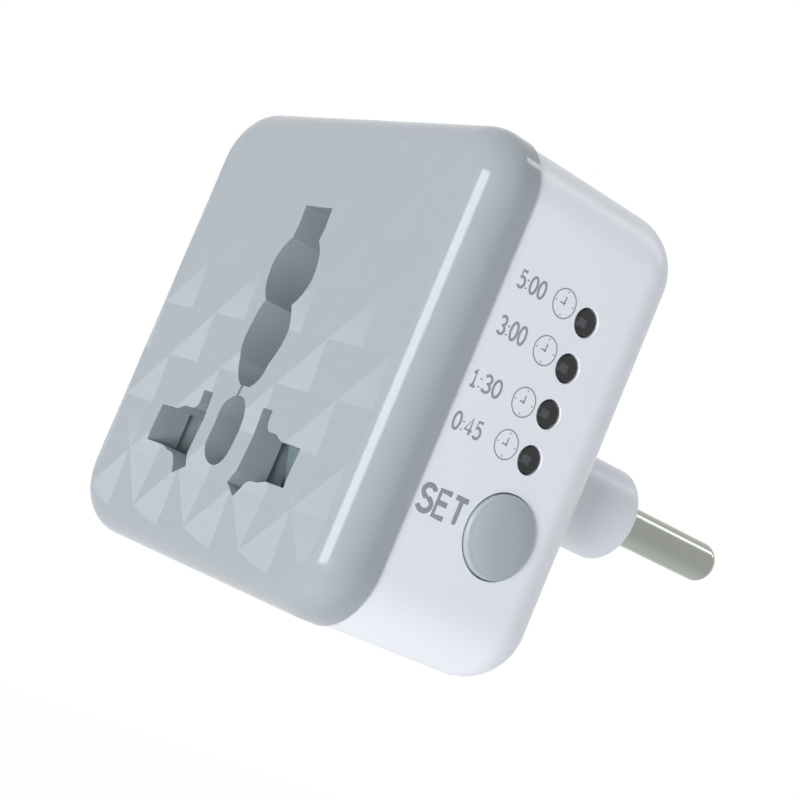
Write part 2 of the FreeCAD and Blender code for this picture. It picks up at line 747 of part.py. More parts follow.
def make_carrier():
    """Moulded block with the pin chambers, the earth well and the shutter's rails."""
    wall = size.carrier_wall
    plate_back = carrier_front + size.carrier_plate
    chamber_low = socket_z - size.chamber_bottom
    chamber_high = socket_z - size.chamber_top
    full_x = (-carrier_half, carrier_half)
    pieces = [box("carrier_plate_blank", full_x, (carrier_front, plate_back), (carrier_low, carrier_high))]
    block_y = (carrier_front, carrier_back)
    pieces.append(box("carrier_block", full_x, block_y, (chamber_low - wall, chamber_high + wall)))
    well_top = socket_z + size.earth_slot_top + 0.25
    well_z = (chamber_high, well_top + wall)
    pieces.append(box("carrier_well_block", (-well_side, well_side), block_y, well_z))
    bar_half = size.earth_slot_width / 2 + 0.15
    deep_x = (-bar_half - wall, bar_half + wall)
    deep_back = front + size.earth_well_reach
    deep_low = socket_z + size.neck_height + 1.8
    deep = (carrier_back - 1, deep_back)
    pieces.append(box("carrier_deep_block", deep_x, deep, (deep_low - wall, well_top + wall)))
    column = (carrier_back - 1, clamp_front - 0.05)
    pieces.append(cylinder("carrier_column", "y", (0, 0), column, size.column_diameter))
    rail_z = (carrier_low, carrier_high)
    for side, sign in (("left", -1), ("right", 1)):
        edge = carrier_half * sign
        rail_x = (edge, edge + wall) if sign < 0 else (edge - wall, edge)
        pieces.append(box(f"carrier_{side}_rail", rail_x, (slot_floor + 0.05, carrier_front + 0.5), rail_z))
        stop_in = well_side * sign
        stop_x = (edge, stop_in) if sign < 0 else (stop_in, edge)
        stop_z = (spring_top, spring_top + 1.4)
        pieces.append(box(f"carrier_{side}_stop", stop_x, (slot_floor + 0.05, carrier_front + 0.5), stop_z))
    foot_z = (carrier_low, bridge_low - 0.1)
    pieces.append(box("carrier_foot", full_x, (slot_floor + 0.05, carrier_front + 0.5), foot_z))
    ahead = carrier_front - 1
    floor = carrier_back - wall
    tools = []
    for side, sign in (("left", -1), ("right", 1)):
        inner, outer = size.chamber_inner * sign, chamber_side * sign
        chamber_x = (outer, inner) if sign < 0 else (inner, outer)
        tools.append(box(f"carrier_{side}_chamber", chamber_x, (ahead, floor), (chamber_low, chamber_high)))
        lug_half = size.contact_lug_width / 2 + 0.1
        lug_centre = contact_centre * sign
        slit_z = (contact_z - size.contact_sheet / 2 - 0.1, contact_z + size.contact_sheet / 2 + 0.1)
        slit_x = (lug_centre - lug_half, lug_centre + lug_half)
        tools.append(box(f"carrier_{side}_lug_slit", slit_x, (floor - 1, carrier_back + 1), slit_z))
    middle_half = size.middle_slot_width / 2 + 0.15
    middle_z = (socket_z - size.middle_slot_bottom - 0.15, socket_z - size.middle_slot_top + 0.1)
    tools.append(box("carrier_middle_well", (-middle_half, middle_half), (ahead, floor), middle_z))
    foot_half = size.foot_lobe_width / 2 + 0.15
    lower_half = size.lower_lobe_width / 2 + 0.15
    low_z = socket_z - size.earth_slot_bottom - 0.1
    step_z = socket_z - size.foot_lobe_drop - 0.6
    tools.append(box("carrier_foot_well", (-foot_half, foot_half), (ahead, floor), (low_z, step_z + 0.1)))
    tools.append(box("carrier_lower_well", (-lower_half, lower_half), (ahead, floor), (step_z, socket_z + 4)))
    tools.append(box("carrier_upper_well", (-well_half, well_half), (ahead, floor), (socket_z + 3, well_top)))
    deep_y = (ahead, deep_back - wall)
    tools.append(box("carrier_deep_well", (-bar_half, bar_half), deep_y, (deep_low, well_top)))
    thread = (0.1 - size.screw_recess - size.screw_length - 0.2, clamp_front + 1)
    tools.append(cylinder("carrier_thread", "y", (0, 0), thread, size.screw_diameter))
    return cut("contact_carrier", fuse("carrier_whole", *pieces), *tools)


contact_centre = (size.contact_inner + contact_outer) / 2
wing_top = socket_z - size.shutter_top
wing_low = socket_z - size.shutter_bottom
wing_outer = chamber_side - size.shutter_side_gap
spring_x = wing_outer - size.shutter_spring_inset
bridge_low = wing_low - size.shutter_bridge_height
spring_top = wing_top + size.shutter_travel + size.shutter_spring_closed


def make_shutter():
    """One plate with two ramped wings joined under the middle slot."""
    slope = math.tan(math.radians(size.shutter_ramp_angle.value))
    ramp = (wing_top - wing_low) * slope
    pieces = []
    for side, sign in (("left", -1), ("right", 1)):
        inner, outer = size.shutter_inner * sign, wing_outer * sign
        start, stop = (outer, inner) if sign < 0 else (inner, outer)
        profile = [
            (shutter_front, wing_top),
            (shutter_front + ramp, wing_low),
            (shutter_back, wing_low),
            (shutter_back, wing_top),
        ]
        pieces.append(padded(f"shutter_{side}_wing", "YZ_Plane", start, stop - start, profile))
        nub = (spring_x * sign, shutter_mid)
        nub_diameter = size.shutter_spring_diameter - 2 * size.shutter_spring_wire - 0.4
        nub_z = (wing_top - 0.5, wing_top + 1.2)
        pieces.append(cylinder(f"shutter_{side}_nub", "z", nub, nub_z, nub_diameter))
    bridge_z = (bridge_low, wing_low + 0.3)
    bridge_y = (shutter_back - 0.9, shutter_back)
    pieces.append(box("shutter_bridge", (-wing_outer, wing_outer), bridge_y, bridge_z))
    return fuse("safety_shutter", *pieces)


shutter_mid = (shutter_front + shutter_back) / 2


def make_shutter_spring(name, sign):
    """A spring between a shutter wing and the carrier's stop."""
    clearance = 0.05
    wire = size.shutter_spring_wire.value
    low = wing_top.value + clearance + wire / 2
    rise = spring_top.value - clearance - wire / 2 - low
    foot = Vector(spring_x.value * sign, shutter_mid.value, low)
    mean = size.shutter_spring_diameter.value - wire
    return coil(name, foot, mean, wire, size.shutter_spring_turns.value, rise)


def make_contact(name, sign):
    """A folded clip: two leaves that grip a pin, and a lug for its wire."""
    base = carrier_back - size.carrier_wall - 0.1
    outer = size.contact_base_half
    throat = size.contact_throat_half
    sheet = size.contact_sheet
    throat_y, mouth_y = base - size.contact_throat, base - size.contact_length
    upper = [
        (base, outer),
        (throat_y, throat),
        (mouth_y, outer),
        (mouth_y, outer - sheet),
        (throat_y, throat - sheet),
        (base - sheet, outer - sheet),
    ]
    corners = [(y, contact_z + up) for y, up in upper]
    corners += [(y, contact_z - up) for y, up in reversed(upper)]
    inner, far = size.contact_inner * sign, contact_outer * sign
    start, stop = (far, inner) if sign < 0 else (inner, far)
    clip = padded(f"{name}_clip", "YZ_Plane", start, stop - start, corners)
    centre = contact_centre * sign
    lug_x = (centre - size.contact_lug_width / 2, centre + size.contact_lug_width / 2)
    half_sheet = sheet / 2
    tail_z = (contact_z - half_sheet, contact_z + half_sheet)
    tail = box(f"{name}_tail", lug_x, (base - 0.2, lug_back), tail_z)
    lug_z = (contact_z - size.contact_lug_half, contact_z + size.contact_lug_half)
    lug = box(f"{name}_lug", lug_x, (lug_back - sheet, lug_back), lug_z)
    return fuse(name, clip, tail, lug)


def make_screw():
    """The screw that is driven from the back, between the posts."""
    under_head = -size.screw_recess + 0.1
    head = (under_head, under_head + size.screw_head_height)
    shank = (under_head - size.screw_length, under_head + 0.2)
    blank = fuse(
        "screw_blank",
        cylinder("screw_head", "y", (0, 0), head, size.screw_head_diameter),
        cylinder("screw_shank", "y", (0, 0), shank, size.screw_diameter - 0.1),
    )
    drive = (head[1] - 0.8, head[1] + 1)
    reach, half = 1.5, 0.35
    return cut(
        "carrier_screw",
        blank,
        box("screw_drive_across", (-reach, reach), drive, (-half, half)),
        box("screw_drive_up", (-half, half), drive, (-reach, reach)),
    )


def make_button():
    """Round cap with a flange inside the wall."""
    top = side_outside + size.button_proud
    cap_x = (flange_top - 0.3, top)
    cap = round_bar("button_cap", "x", button_centre, cap_x, size.button_diameter, size.button_edge_round)
    flange_x = (flange_foot, flange_top)
    flange = cylinder("button_flange_disc", "x", button_centre, flange_x, size.button_diameter + 1.6)
    return fuse("set_button", cap, flange)


def make_push_switch():
    """The small switch behind the button: moulded body, metal cover and plunger."""
    y, z = button_centre
    half = size.switch_width / 2
    board, cover = control_face, 0.3
    cover_foot = switch_top - cover
    hole = size.switch_plunger_diameter + 0.1
    body = box("switch_block", (board, cover_foot), (y - half, y + half), (z - half, z + half))
    hollow = (board + 1.2, cover_foot + 1)
    cut("push_switch_body", body, cylinder("switch_hollow", "x", button_centre, hollow, hole))
    plate = box("switch_plate", (cover_foot, switch_top), (y - half, y + half), (z - half, z + half))
    through = (cover_foot - 1, switch_top + 1)
    cut("push_switch_cover", plate, cylinder("switch_plate_hole", "x", button_centre, through, hole))
    stem = (board + 1.2 + size.button_travel + 0.15, flange_foot - 0.05)
    cylinder("push_switch_plunger", "x", button_centre, stem, size.switch_plunger_diameter)


def make_lamp(number, z):
    """A 3 mm lamp: low domed lens, rim and two legs."""
    y = front + size.lamp_depth
    name = f"indicator_lamp_{number}"
    rim = control_face + size.lamp_stand
    lens_x = (rim, side_outside - size.lamp_recess)
    rim_x = (rim, rim + size.lamp_rim_height)
    pieces = [
        round_bar(f"{name}_lens", "x", (y, z), lens_x, size.lamp_diameter, size.lamp_dome_round),
        cylinder(f"{name}_rim", "x", (y, z), rim_x, size.lamp_rim_diameter),
    ]
    for leg, place in (("front", y - size.lamp_leg_spacing / 2), ("back", y + size.lamp_leg_spacing / 2)):
        leg_x = (control_face, rim + size.lamp_rim_height / 2)
        pieces.append(cylinder(f"{name}_{leg}_leg", "x", (place, z), leg_x, size.lamp_leg_diameter))
    return fuse(name, *pieces)


def make_boards():
    """The control board behind the panel and the power board opposite."""
    y = (front + size.board_front_gap, -size.board_back_gap)
    box("control_board", (control_back, control_face), y, (control_low, control_high))
    box("power_board", (-power_face - size.board_thickness, -power_face), y, (power_low, power_high))


def make_control_parts():
    """Chip, smoothing capacitor, driver transistor and resistors on the control board."""
    chip_y = front + size.board_front_gap + size.chip_inset
    chip_z = face_z + size.chip_rise
    chip_x = (control_back - size.chip_height, control_back)
    across, along = size.chip_width / 2, size.chip_length / 2
    box("timer_chip", chip_x, (chip_y - across, chip_y + across), (chip_z - along, chip_z + along))
    can_centre = (-size.board_back_gap - size.smoothing_diameter / 2 - 0.3, face_z + size.smoothing_rise)
    can_x = (control_back - size.smoothing_height, control_back)
    cylinder("smoothing_capacitor", "x", can_centre, can_x, size.smoothing_diameter)
    transistor_z = face_z + size.transistor_rise
    transistor_x = (control_back - size.transistor_diameter, control_back)
    body = cylinder("transistor_round", "x", (chip_y, transistor_z), transistor_x, size.transistor_diameter)
    flat_x = (transistor_x[0] - 1, control_back + 1)
    flat_y = (chip_y + size.transistor_flat, chip_y + size.transistor_diameter)
    flat_z = (transistor_z - size.transistor_diameter, transistor_z + size.transistor_diameter)
    cut("driver_transistor", body, box("transistor_flat", flat_x, flat_y, flat_z))
    resistors = []
    resistor_back = -size.board_back_gap - 1.2
    resistor_y = (resistor_back - size.resistor_length, resistor_back)
    resistor_x = control_back - size.resistor_diameter / 2 - 0.1
    lowest = size.clamp_height / 2 + 0.3 + size.resistor_diameter / 2
    for number in range(3):
        centre = (resistor_x, lowest + size.resistor_pitch * number)
        resistors.append(cylinder(f"resistor_{number}", "y", centre, resistor_y, size.resistor_diameter))
    group("control_resistors", *resistors)


def make_power_parts():
    """Dropper capacitor, surge disc, rectifier diodes and fuse on the power board."""
    board = -power_face
    cap_back = -size.board_back_gap - 0.2
    cap_low = face_z + size.capacitor_rise
    cap_x = (board, board + size.capacitor_height)
    cap_z = (cap_low, cap_low + size.capacitor_length)
    box("dropper_capacitor", cap_x, (cap_back - size.capacitor_width, cap_back), cap_z)
    disc_half = size.disc_diameter / 2
    disc_centre = (-size.board_back_gap - 0.3 - disc_half, -disc_half)
    cylinder("surge_disc", "x", disc_centre, (board, board + size.disc_thickness), size.disc_diameter)
    fuse_front = front + size.board_front_gap + 1.5
    fuse_centre = (board + size.fuse_diameter / 2 + 0.1, power_low + size.fuse_rise)
    fuse_y = (fuse_front, fuse_front + size.fuse_length)
    cylinder("fuse_tube", "y", fuse_centre, fuse_y, size.fuse_diameter)
    diodes = []
    diode_front = front + size.board_front_gap + 1.0
    diode_x = board + size.diode_diameter / 2 + 0.15
    for number in range(2):
        centre = (diode_x, power_low + size.diode_rise + size.diode_pitch * number)
        diode_y = (diode_front, diode_front + size.diode_length)
        diodes.append(cylinder(f"diode_{number}", "y", centre, diode_y, size.diode_diameter))
    group("rectifier_diodes", *diodes)


relay_foot = -power_face
relay_top = -well_side - size.relay_well_gap
relay_front = front + size.board_front_gap + size.relay_front_gap
relay_y = (relay_front, relay_front + size.relay_width)
relay_z = (face_z, face_z + size.relay_length)
relay_base_top = relay_foot + size.relay_base_height
relay_mid = (relay_y[0] + relay_y[1]) / 2
coil_z = relay_z[0] + size.coil_rise
coil_top = relay_top - size.coil_head_room
armature_foot = coil_top + size.armature_gap


def make_relay():
    """A small power relay: base, case, coil, frame with core, armature and fixed contact."""
    wall = size.relay_wall
    box("relay_base", (relay_foot, relay_base_top), relay_y, relay_z)
    seat = relay_base_top + 0.02
    case = box("relay_case_block", (seat, relay_top), relay_y, relay_z)
    inside_y = (relay_y[0] + wall, relay_y[1] - wall)
    inside_z = (relay_z[0] + wall, relay_z[1] - wall)
    inside_x = (relay_base_top - 1, relay_top - wall)
    cut("relay_case", case, box("relay_case_hollow", inside_x, inside_y, inside_z))
    centre = (relay_mid, coil_z)
    bobbin = (relay_base_top + size.coil_foot_gap, coil_top)
    low_disc = (bobbin[0], bobbin[0] + size.coil_flange)
    high_disc = (bobbin[1] - size.coil_flange, bobbin[1])
    wound_x = (low_disc[1] - 0.2, high_disc[0] + 0.2)
    coil_parts = [
        cylinder("coil_winding", "x", centre, wound_x, size.coil_diameter),
        cylinder("coil_low_disc", "x", centre, low_disc, size.coil_flange_diameter),
        cylinder("coil_high_disc", "x", centre, high_disc, size.coil_flange_diameter),
    ]
    bore = cylinder("coil_bore", "x", centre, (bobbin[0] - 1, bobbin[1] + 1), size.core_diameter + 0.2)
    cut("relay_coil", fuse("coil_whole", *coil_parts), bore)
    half = size.relay_width / 2 - wall - size.frame_side_gap
    frame_y = (relay_mid - half, relay_mid + half)
    leg_low = relay_z[0] + wall + 0.15
    leg_z = (leg_low, leg_low + size.frame_sheet)
    leg = box("frame_leg", (seat, armature_foot - 0.1), frame_y, leg_z)
    foot_x = (seat, bobbin[0] - 0.05)
    foot = box("frame_foot", foot_x, frame_y, (leg_low, coil_z + size.frame_reach))
    core = cylinder("frame_core", "x", centre, (relay_base_top + 0.3, coil_top + 0.3), size.core_diameter)
    fuse("relay_frame", leg, foot, core)
    arm_top = armature_foot + size.armature_sheet
    arm = box("armature_plate", (armature_foot, arm_top), frame_y, (leg_low, coil_z + size.armature_reach))
    blade_y = (relay_mid - size.blade_width / 2, relay_mid + size.blade_width / 2)
    blade_x = (arm_top - 0.1, arm_top + size.blade_sheet)
    blade = box("armature_blade", blade_x, blade_y, (coil_z - 1, relay_z[1] - wall - size.blade_end_gap))
    contact_mid = (relay_mid, relay_z[1] - wall - size.relay_contact_inset)
    tip_x = (arm_top - 0.9, arm_top + 0.1)
    tip = cylinder("armature_tip", "x", contact_mid, tip_x, size.relay_contact_diameter)
    fuse("relay_armature", arm, blade, tip)
    post_z = (contact_mid[1] - size.relay_post_half, contact_mid[1] + size.relay_post_half)
    fixed_top = arm_top - size.relay_contact_drop
    post_x = (seat, fixed_top - 0.5)
    post = box("contact_post", post_x, blade_y, (post_z[1] - size.relay_post_sheet, post_z[1]))
    shelf = box("contact_shelf", (fixed_top - 0.8, fixed_top - 0.4), blade_y, post_z)
    pad = cylinder("contact_pad", "x", contact_mid, (fixed_top - 0.5, fixed_top), size.relay_contact_diameter)
    fuse("relay_contact", post, shelf, pad)


def make_wires():
    """Insulated wires between the pins, contacts and boards."""
    tail_end = (pin_head_front - size.pin_tail_length).value
    pin, lug = pin_x.value, contact_centre.value
    side, behind = carrier_half.value, carrier_back.value
    lug_y = (lug_back - size.contact_sheet / 2).value
    lug_top = (contact_z + size.contact_lug_half).value
    lug_foot = (contact_z - size.contact_lug_half).value
    control, power = control_back.value, -power_face.value
    outward = power + pin
    routes = {
        "neutral_wire": [
            (pin, tail_end, 0),
            (pin, lug_y, 0),
            (lug, lug_y, 0.6 * lug_top),
            (lug, lug_y, lug_top),
        ],
        "live_feed_wire": [
            (-pin, tail_end, 0),
            (-pin, lug_y, 0),
            (-pin + 0.43 * outward, lug_y + 0.1, 0.8),
            (-pin + 0.74 * outward, lug_y + 0.6, 0.8),
            (power, lug_y + 0.6, 0.8),
        ],
        "live_switched_wire": [
            (power, behind - 2.2, -1.0),
            (-side - 2.2, behind - 2.2, -1.0),
            (-side - 1.0, behind + 0.7, -1.2),
            (-lug - 1.8, behind + 0.9, 0.26 * lug_top),
            (-lug, lug_y, 0.52 * lug_top),
            (-lug, lug_y, lug_top),
        ],
        "neutral_feed_wire": [
            (lug, lug_y, lug_foot),
            (lug, lug_y, lug_foot - 2.6),
            (control, lug_y, lug_foot - 2.6),
        ],
    }
    for name, points in routes.items():
        tube(name, points, size.wire_diameter)
    links = []
    ends_z = (power_high - size.link_wire_drop).value
    roof_z = (face_z + cavity_half_height - size.link_wire_roof).value
    first_y = (relay_y[1] + size.link_wire_gap).value
    for number in range(3):
        y = first_y + size.link_wire_pitch.value * number
        heights = ((0, ends_z), (0.24, ends_z), (0.54, roof_z), (0.84, ends_z), (1, ends_z))
        points = [(power + share * (control - power), y, z) for share, z in heights]
        links.append(tube(f"link_wire_{number}", points, size.link_wire_diameter))
    group("board_link_wires", *links)


make_front_cover()
make_main_housing()
make_plug_pin("plug_pin_left", -pin_x)
make_plug_pin("plug_pin_right", pin_x)
make_clamp_plate()
make_carrier()
make_shutter()
make_shutter_spring("shutter_spring_left", -1)
make_shutter_spring("shutter_spring_right", 1)
make_contact("live_contact", -1)
make_contact("neutral_contact", 1)
make_screw()
make_button()
make_push_switch()
for lamp_number, lamp_z in enumerate(lamp_heights(), 1):
    make_lamp(lamp_number, lamp_z)
make_boards()
make_control_parts()
make_power_parts()
make_relay()
make_wires()
doc.recompute()

NODES = [
    "front_cover", "main_housing", "plug_pin_left", "plug_pin_right", "pin_clamp_plate", "contact_carrier",
    "safety_shutter", "shutter_spring_left", "shutter_spring_right", "live_contact", "neutral_contact",
    "carrier_screw", "set_button", "push_switch_body", "push_switch_cover", "push_switch_plunger",
    "indicator_lamp_1", "indicator_lamp_2", "indicator_lamp_3", "indicator_lamp_4", "control_board",
    "power_board", "timer_chip", "smoothing_capacitor", "driver_transistor", "control_resistors",
    "dropper_capacitor", "surge_disc", "fuse_tube", "rectifier_diodes", "relay_base", "relay_case",
    "relay_coil", "relay_frame", "relay_armature", "relay_contact", "neutral_wire", "live_feed_wire",
    "live_switched_wire", "neutral_feed_wire", "board_link_wires",
]

for item in doc.Objects:
    faults = {"Invalid", "Error"} & set(item.State)
    if faults:
        raise RuntimeError(f"{item.Name} is {faults}")
for node in NODES:
    shape = doc.getObject(node).Shape
    if shape.isNull() or not shape.isValid() or not shape.Solids:
        raise RuntimeError(f"{node} has no valid solid")

os.makedirs("parts", exist_ok=True)
for node in NODES:
    item = doc.getObject(node)
    item.Label = node
    item.Shape.exportStep(f"parts/{node}.step")
    print(node, len(item.Shape.Solids), round(item.Shape.Volume, 2))
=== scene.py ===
"""Looks of the plug in timer switch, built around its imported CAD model."""
import json
import math

import bpy
from mathutils import Matrix, Vector

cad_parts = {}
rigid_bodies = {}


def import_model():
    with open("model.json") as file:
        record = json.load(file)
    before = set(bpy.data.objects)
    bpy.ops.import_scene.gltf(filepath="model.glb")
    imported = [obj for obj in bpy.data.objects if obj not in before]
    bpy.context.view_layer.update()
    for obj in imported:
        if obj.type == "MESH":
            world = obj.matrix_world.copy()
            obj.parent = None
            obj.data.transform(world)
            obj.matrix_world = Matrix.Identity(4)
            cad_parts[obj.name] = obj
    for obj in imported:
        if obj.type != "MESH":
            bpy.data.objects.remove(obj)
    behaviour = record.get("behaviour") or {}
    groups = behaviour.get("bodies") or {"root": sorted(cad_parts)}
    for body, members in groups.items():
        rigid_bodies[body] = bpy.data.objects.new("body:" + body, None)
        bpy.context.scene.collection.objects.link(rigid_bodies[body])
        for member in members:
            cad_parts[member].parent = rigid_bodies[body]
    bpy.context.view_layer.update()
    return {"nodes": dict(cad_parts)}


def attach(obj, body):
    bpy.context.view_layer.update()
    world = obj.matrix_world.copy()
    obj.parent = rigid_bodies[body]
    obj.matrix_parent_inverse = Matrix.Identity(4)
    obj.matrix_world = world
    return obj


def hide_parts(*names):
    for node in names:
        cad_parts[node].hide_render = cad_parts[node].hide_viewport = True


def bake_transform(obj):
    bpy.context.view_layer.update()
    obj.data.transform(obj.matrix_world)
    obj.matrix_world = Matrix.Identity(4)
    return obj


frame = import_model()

MM = 0.001

# Sizes in millimetres. X runs to the lamp side, Y into the wall and Z up. The origin is midway
# between the pins, on the back of the body.
FACE_Z = 2.56  # the height of the face's centre
FRONT, SEAM, SLOT_FLOOR, COLLAR_END = -29.8, -23.7, -25.8, -21.05  # places along Y
PAST = 1  # how far a cutter runs on past what it cuts

# The grey cover
COVER_HALF_X, COVER_HALF_Z = 26.8, 26.3
COVER_CORNER, COVER_EDGE_ROUND = 7.0, 4.4
COVER_WALL, FACE_WALL, HOLLOW_ROUND = 1.2, 2.0, 2.4
PAD_HALF_X, PAD_BELOW, PAD_ABOVE = 16.2, 18.0, 18.4
COLLAR_WALL, FACE_SLOT_FLARE, SLIT_FLARE = 0.5, 0.15, 0.1
PAD_OVERLAP, INNER_OVERLAP = 0.5, 0.4
GUARD_X, GUARD_RISE, GUARD_BELOW = (3.5, 4.45), 2.7, (17.9, 7.4)
TONGUE_X, TONGUE_HALF = 12, 4
TONGUE_STEM = ((FRONT + 1.7, SEAM + 3), 22.65, 23.65)
TONGUE_HOOK = ((SEAM + 1.4, SEAM + 2.6), 23.45, 24.25)
FACET_CELLS, FACET_PITCH, FACET_TOP, FACET_RISE, FACET_DENT = 12, 5.8, 18.035, 0.04, 0.34

# The white body
BODY_HALF_X, BODY_HALF_Z = 26.5, 26.0
BODY_CORNER, BODY_EDGE_ROUND, BODY_WALL = 6.6, 6.4, 2.2
LIP_INSET, LIP_LENGTH = 1.3, 2.3
CAVITY_CORNER, CAVITY_ROUND = 3, 2
PIN_X, POST_DIAMETER, POST_LENGTH, POST_ROUND, POST_ROOT = 9.5, 11.0, 16.35, 0.8, 0.7
STEM_BORE, STEM_BORE_START, WALL_INSIDE = 4.1, -3, -1.1
BOSS_DIAMETER, BOSS_END, RECESS_DIAMETER, RECESS_FLOOR, SCREW_HOLE = 9.0, -4.7, 5.6, -2.3, 3.4
LAMP_Y, LAMP_HEIGHTS, LAMP_HOLE = -11.6, (14.56, 9.56, 4.56, -0.44), 3.1
BUTTON_Y, BUTTON_Z, BUTTON_HOLE = -11.5, -8.74, 9.1

# The SET button: its cap, and each step of the dome as a width and a rise
BUTTON_CAP, BUTTON_TOP, BUTTON_ROUND = 8.88, 27.0, 0.45
FLANGE_DIAMETER, FLANGE_FOOT, CAP_FOOT = 10.6, 23.2, 24.0
DOME_STEPS = (
    (0.3, 0.12), (0.4, 0.12), (0.5, 0.1), (0.6, 0.075), (0.7, 0.05), (0.8, 0.025), (0.5, 0.005)
)

# The lamps, and each lead as a place along Y, its foot, its top and its cup's reach
LENS_DIAMETER, LENS_FOOT, LENS_TIP, LENS_ROUND = 3.04, 20.0, 26.44, 0.4
LENS_RIM_DIAMETER, LENS_RIM_TOP = 3.8, 20.9
LEADS = ((-0.9, 19.0, 24.4, 0.75), (0.9, 19.0, 24.0, 0.4))
LEAD_HALF_Y, LEAD_HALF_Z = 0.2, 0.22

# The markings: how far the ink stands out, and the clocks' ring, marks and hands
PRINT_RELIEF = 0.04
TIME_PEN, SET_PEN, SIGN_GAP = 0.3, 0.56, 0.17
CLOCK_Y, CLOCK_HEIGHTS = -15.2, (15.16, 10.06, 4.46, -0.09)
CLOCK_RING, CLOCK_INSIDE, CLOCK_RELIEF = 3.15, 2.87, (-0.005, 0.015)
MARK_DISTANCE, MARK_DIAMETER = 1.2, 0.18
LONG_HAND = ((-0.08, 0.08), (-0.16, 0.72))
SHORT_HAND = ((-0.56, 0.05), (-0.1, 0.06))

ROUND_STEPS = 24
FLOOR_Z = -0.45  # in metres, well below the object


def clear_selection():
    """Leaves nothing selected."""
    bpy.ops.object.select_all(action="DESELECT")


def work_on(piece):
    """Makes one piece the only selected and active one."""
    clear_selection()
    piece.select_set(True)
    bpy.context.view_layer.objects.active = piece


def settle(piece):
    """Moves a piece's place, turn and size into its mesh."""
    work_on(piece)
    bpy.ops.object.transform_apply(location=True, rotation=True, scale=True)
    return piece


def block(name, x, y, z):
    """A box between two limits along each axis."""
    clear_selection()
    middle = [(low + high) / 2 for low, high in (x, y, z)]
    bpy.ops.mesh.primitive_cube_add(size=1, location=middle)
    piece = bpy.context.object
    piece.name = name
    piece.scale = [high - low for low, high in (x, y, z)]
    return settle(piece)


TURNS = {"x": (0, math.pi / 2, 0), "y": (math.pi / 2, 0, 0), "z": (0, 0, 0)}


def bar(name, axis, centre, span, diameter, sides=96):
    """A round bar along an axis. The centre gives its other two coordinates in axis order."""
    clear_selection()
    low, high = span
    middle = (low + high) / 2
    place = {
        "x": (middle, *centre),
        "y": (centre[0], middle, centre[1]),
        "z": (*centre, middle),
    }[axis]
    bpy.ops.mesh.primitive_cylinder_add(
        vertices=sides,
        radius=diameter / 2,
        depth=high - low,
        location=place,
        rotation=TURNS[axis],
    )
    piece = bpy.context.object
    piece.name = name
    return settle(piece)


def pick(piece, kind, test):
    """Selects, in edit mode, the vertices, edges or faces whose corner points pass a test."""
    work_on(piece)
    bpy.ops.object.mode_set(mode="EDIT")
    bpy.ops.mesh.select_mode(type=kind)
    bpy.ops.mesh.select_all(action="DESELECT")
    bpy.ops.object.mode_set(mode="OBJECT")
    mesh = piece.data
    points = [vertex.co for vertex in mesh.vertices]
    if kind == "VERT":
        for vertex in mesh.vertices:
            vertex.select = test([vertex.co])
    else:
        for item in mesh.edges if kind == "EDGE" else mesh.polygons:
            item.select = test([points[index] for index in item.vertices])
    bpy.ops.object.mode_set(mode="EDIT")


def leave_edit():
    """Ends edit mode."""
    bpy.ops.object.mode_set(mode="OBJECT")


def runs_along(axis):
    """A test for edges that run along one axis."""
    number = "xyz".index(axis)
    return lambda ends: all(
        abs(ends[0][other] - ends[1][other]) < 1e-4 for other in range(3) if other != number
    )


def lies_at(axis, place):
    """A test for what lies wholly in one plane."""
    number = "xyz".index(axis)
    return lambda points: all(abs(point[number] - place) < 1e-3 for point in points)


def on_ring(axis, place, centre, diameter):
    """A test for what lies on a round edge in one plane. The centre is in axis order."""
    number = "xyz".index(axis)
    first, second = (other for other in range(3) if other != number)
    return lambda points: all(
        abs(point[number] - place) < 1e-3
        and abs(
            math.hypot(point[first] - centre[0], point[second] - centre[1]) - diameter / 2
        ) < 0.02
        for point in points
    )


def round_edges(piece, test, radius, steps=ROUND_STEPS):
    """Rounds the edges that pass the test."""
    pick(piece, "EDGE", test)
    bpy.ops.mesh.bevel(
        offset=radius, offset_type="OFFSET", segments=steps, affect="EDGES", clamp_overlap=False
    )
    leave_edit()
    return piece


def combine(piece, tools, operation):
    """Joins tools to a piece or takes them away, and uses the tools up."""
    for tool in tools:
        modifier = piece.modifiers.new("combine", "BOOLEAN")
        modifier.operation = operation
        modifier.solver = "EXACT"
        modifier.object = tool
        work_on(piece)
        bpy.ops.object.modifier_apply(modifier=modifier.name)
        bpy.data.objects.remove(tool)
    return piece


def carve(piece, *tools):
    """Takes tools away from a piece."""
    return combine(piece, tools, "DIFFERENCE")


def weld(piece, *tools):
    """Joins tools to a piece."""
    return combine(piece, tools, "UNION")


def merge(piece, distance):
    """Merges a piece's doubled points and leaves it in edit mode with all of it selected."""
    work_on(piece)
    bpy.ops.object.mode_set(mode="EDIT")
    bpy.ops.mesh.select_all(action="SELECT")
    bpy.ops.mesh.remove_doubles(threshold=distance)


def join(parts, name):
    """Makes several pieces one object."""
    clear_selection()
    for part in parts:
        part.select_set(True)
    bpy.context.view_layer.objects.active = parts[0]
    bpy.ops.object.join()
    parts[0].name = name
    return parts[0]


def shade(piece, smooth_angle):
    """Smooths what bends less than an angle in degrees."""
    work_on(piece)
    bpy.ops.object.shade_smooth_by_angle(
        angle=math.radians(smooth_angle), keep_sharp_edges=True
    )


def dress(piece, material):
    """Gives a piece its only finish."""
    piece.data.materials.clear()
    piece.data.materials.append(material)


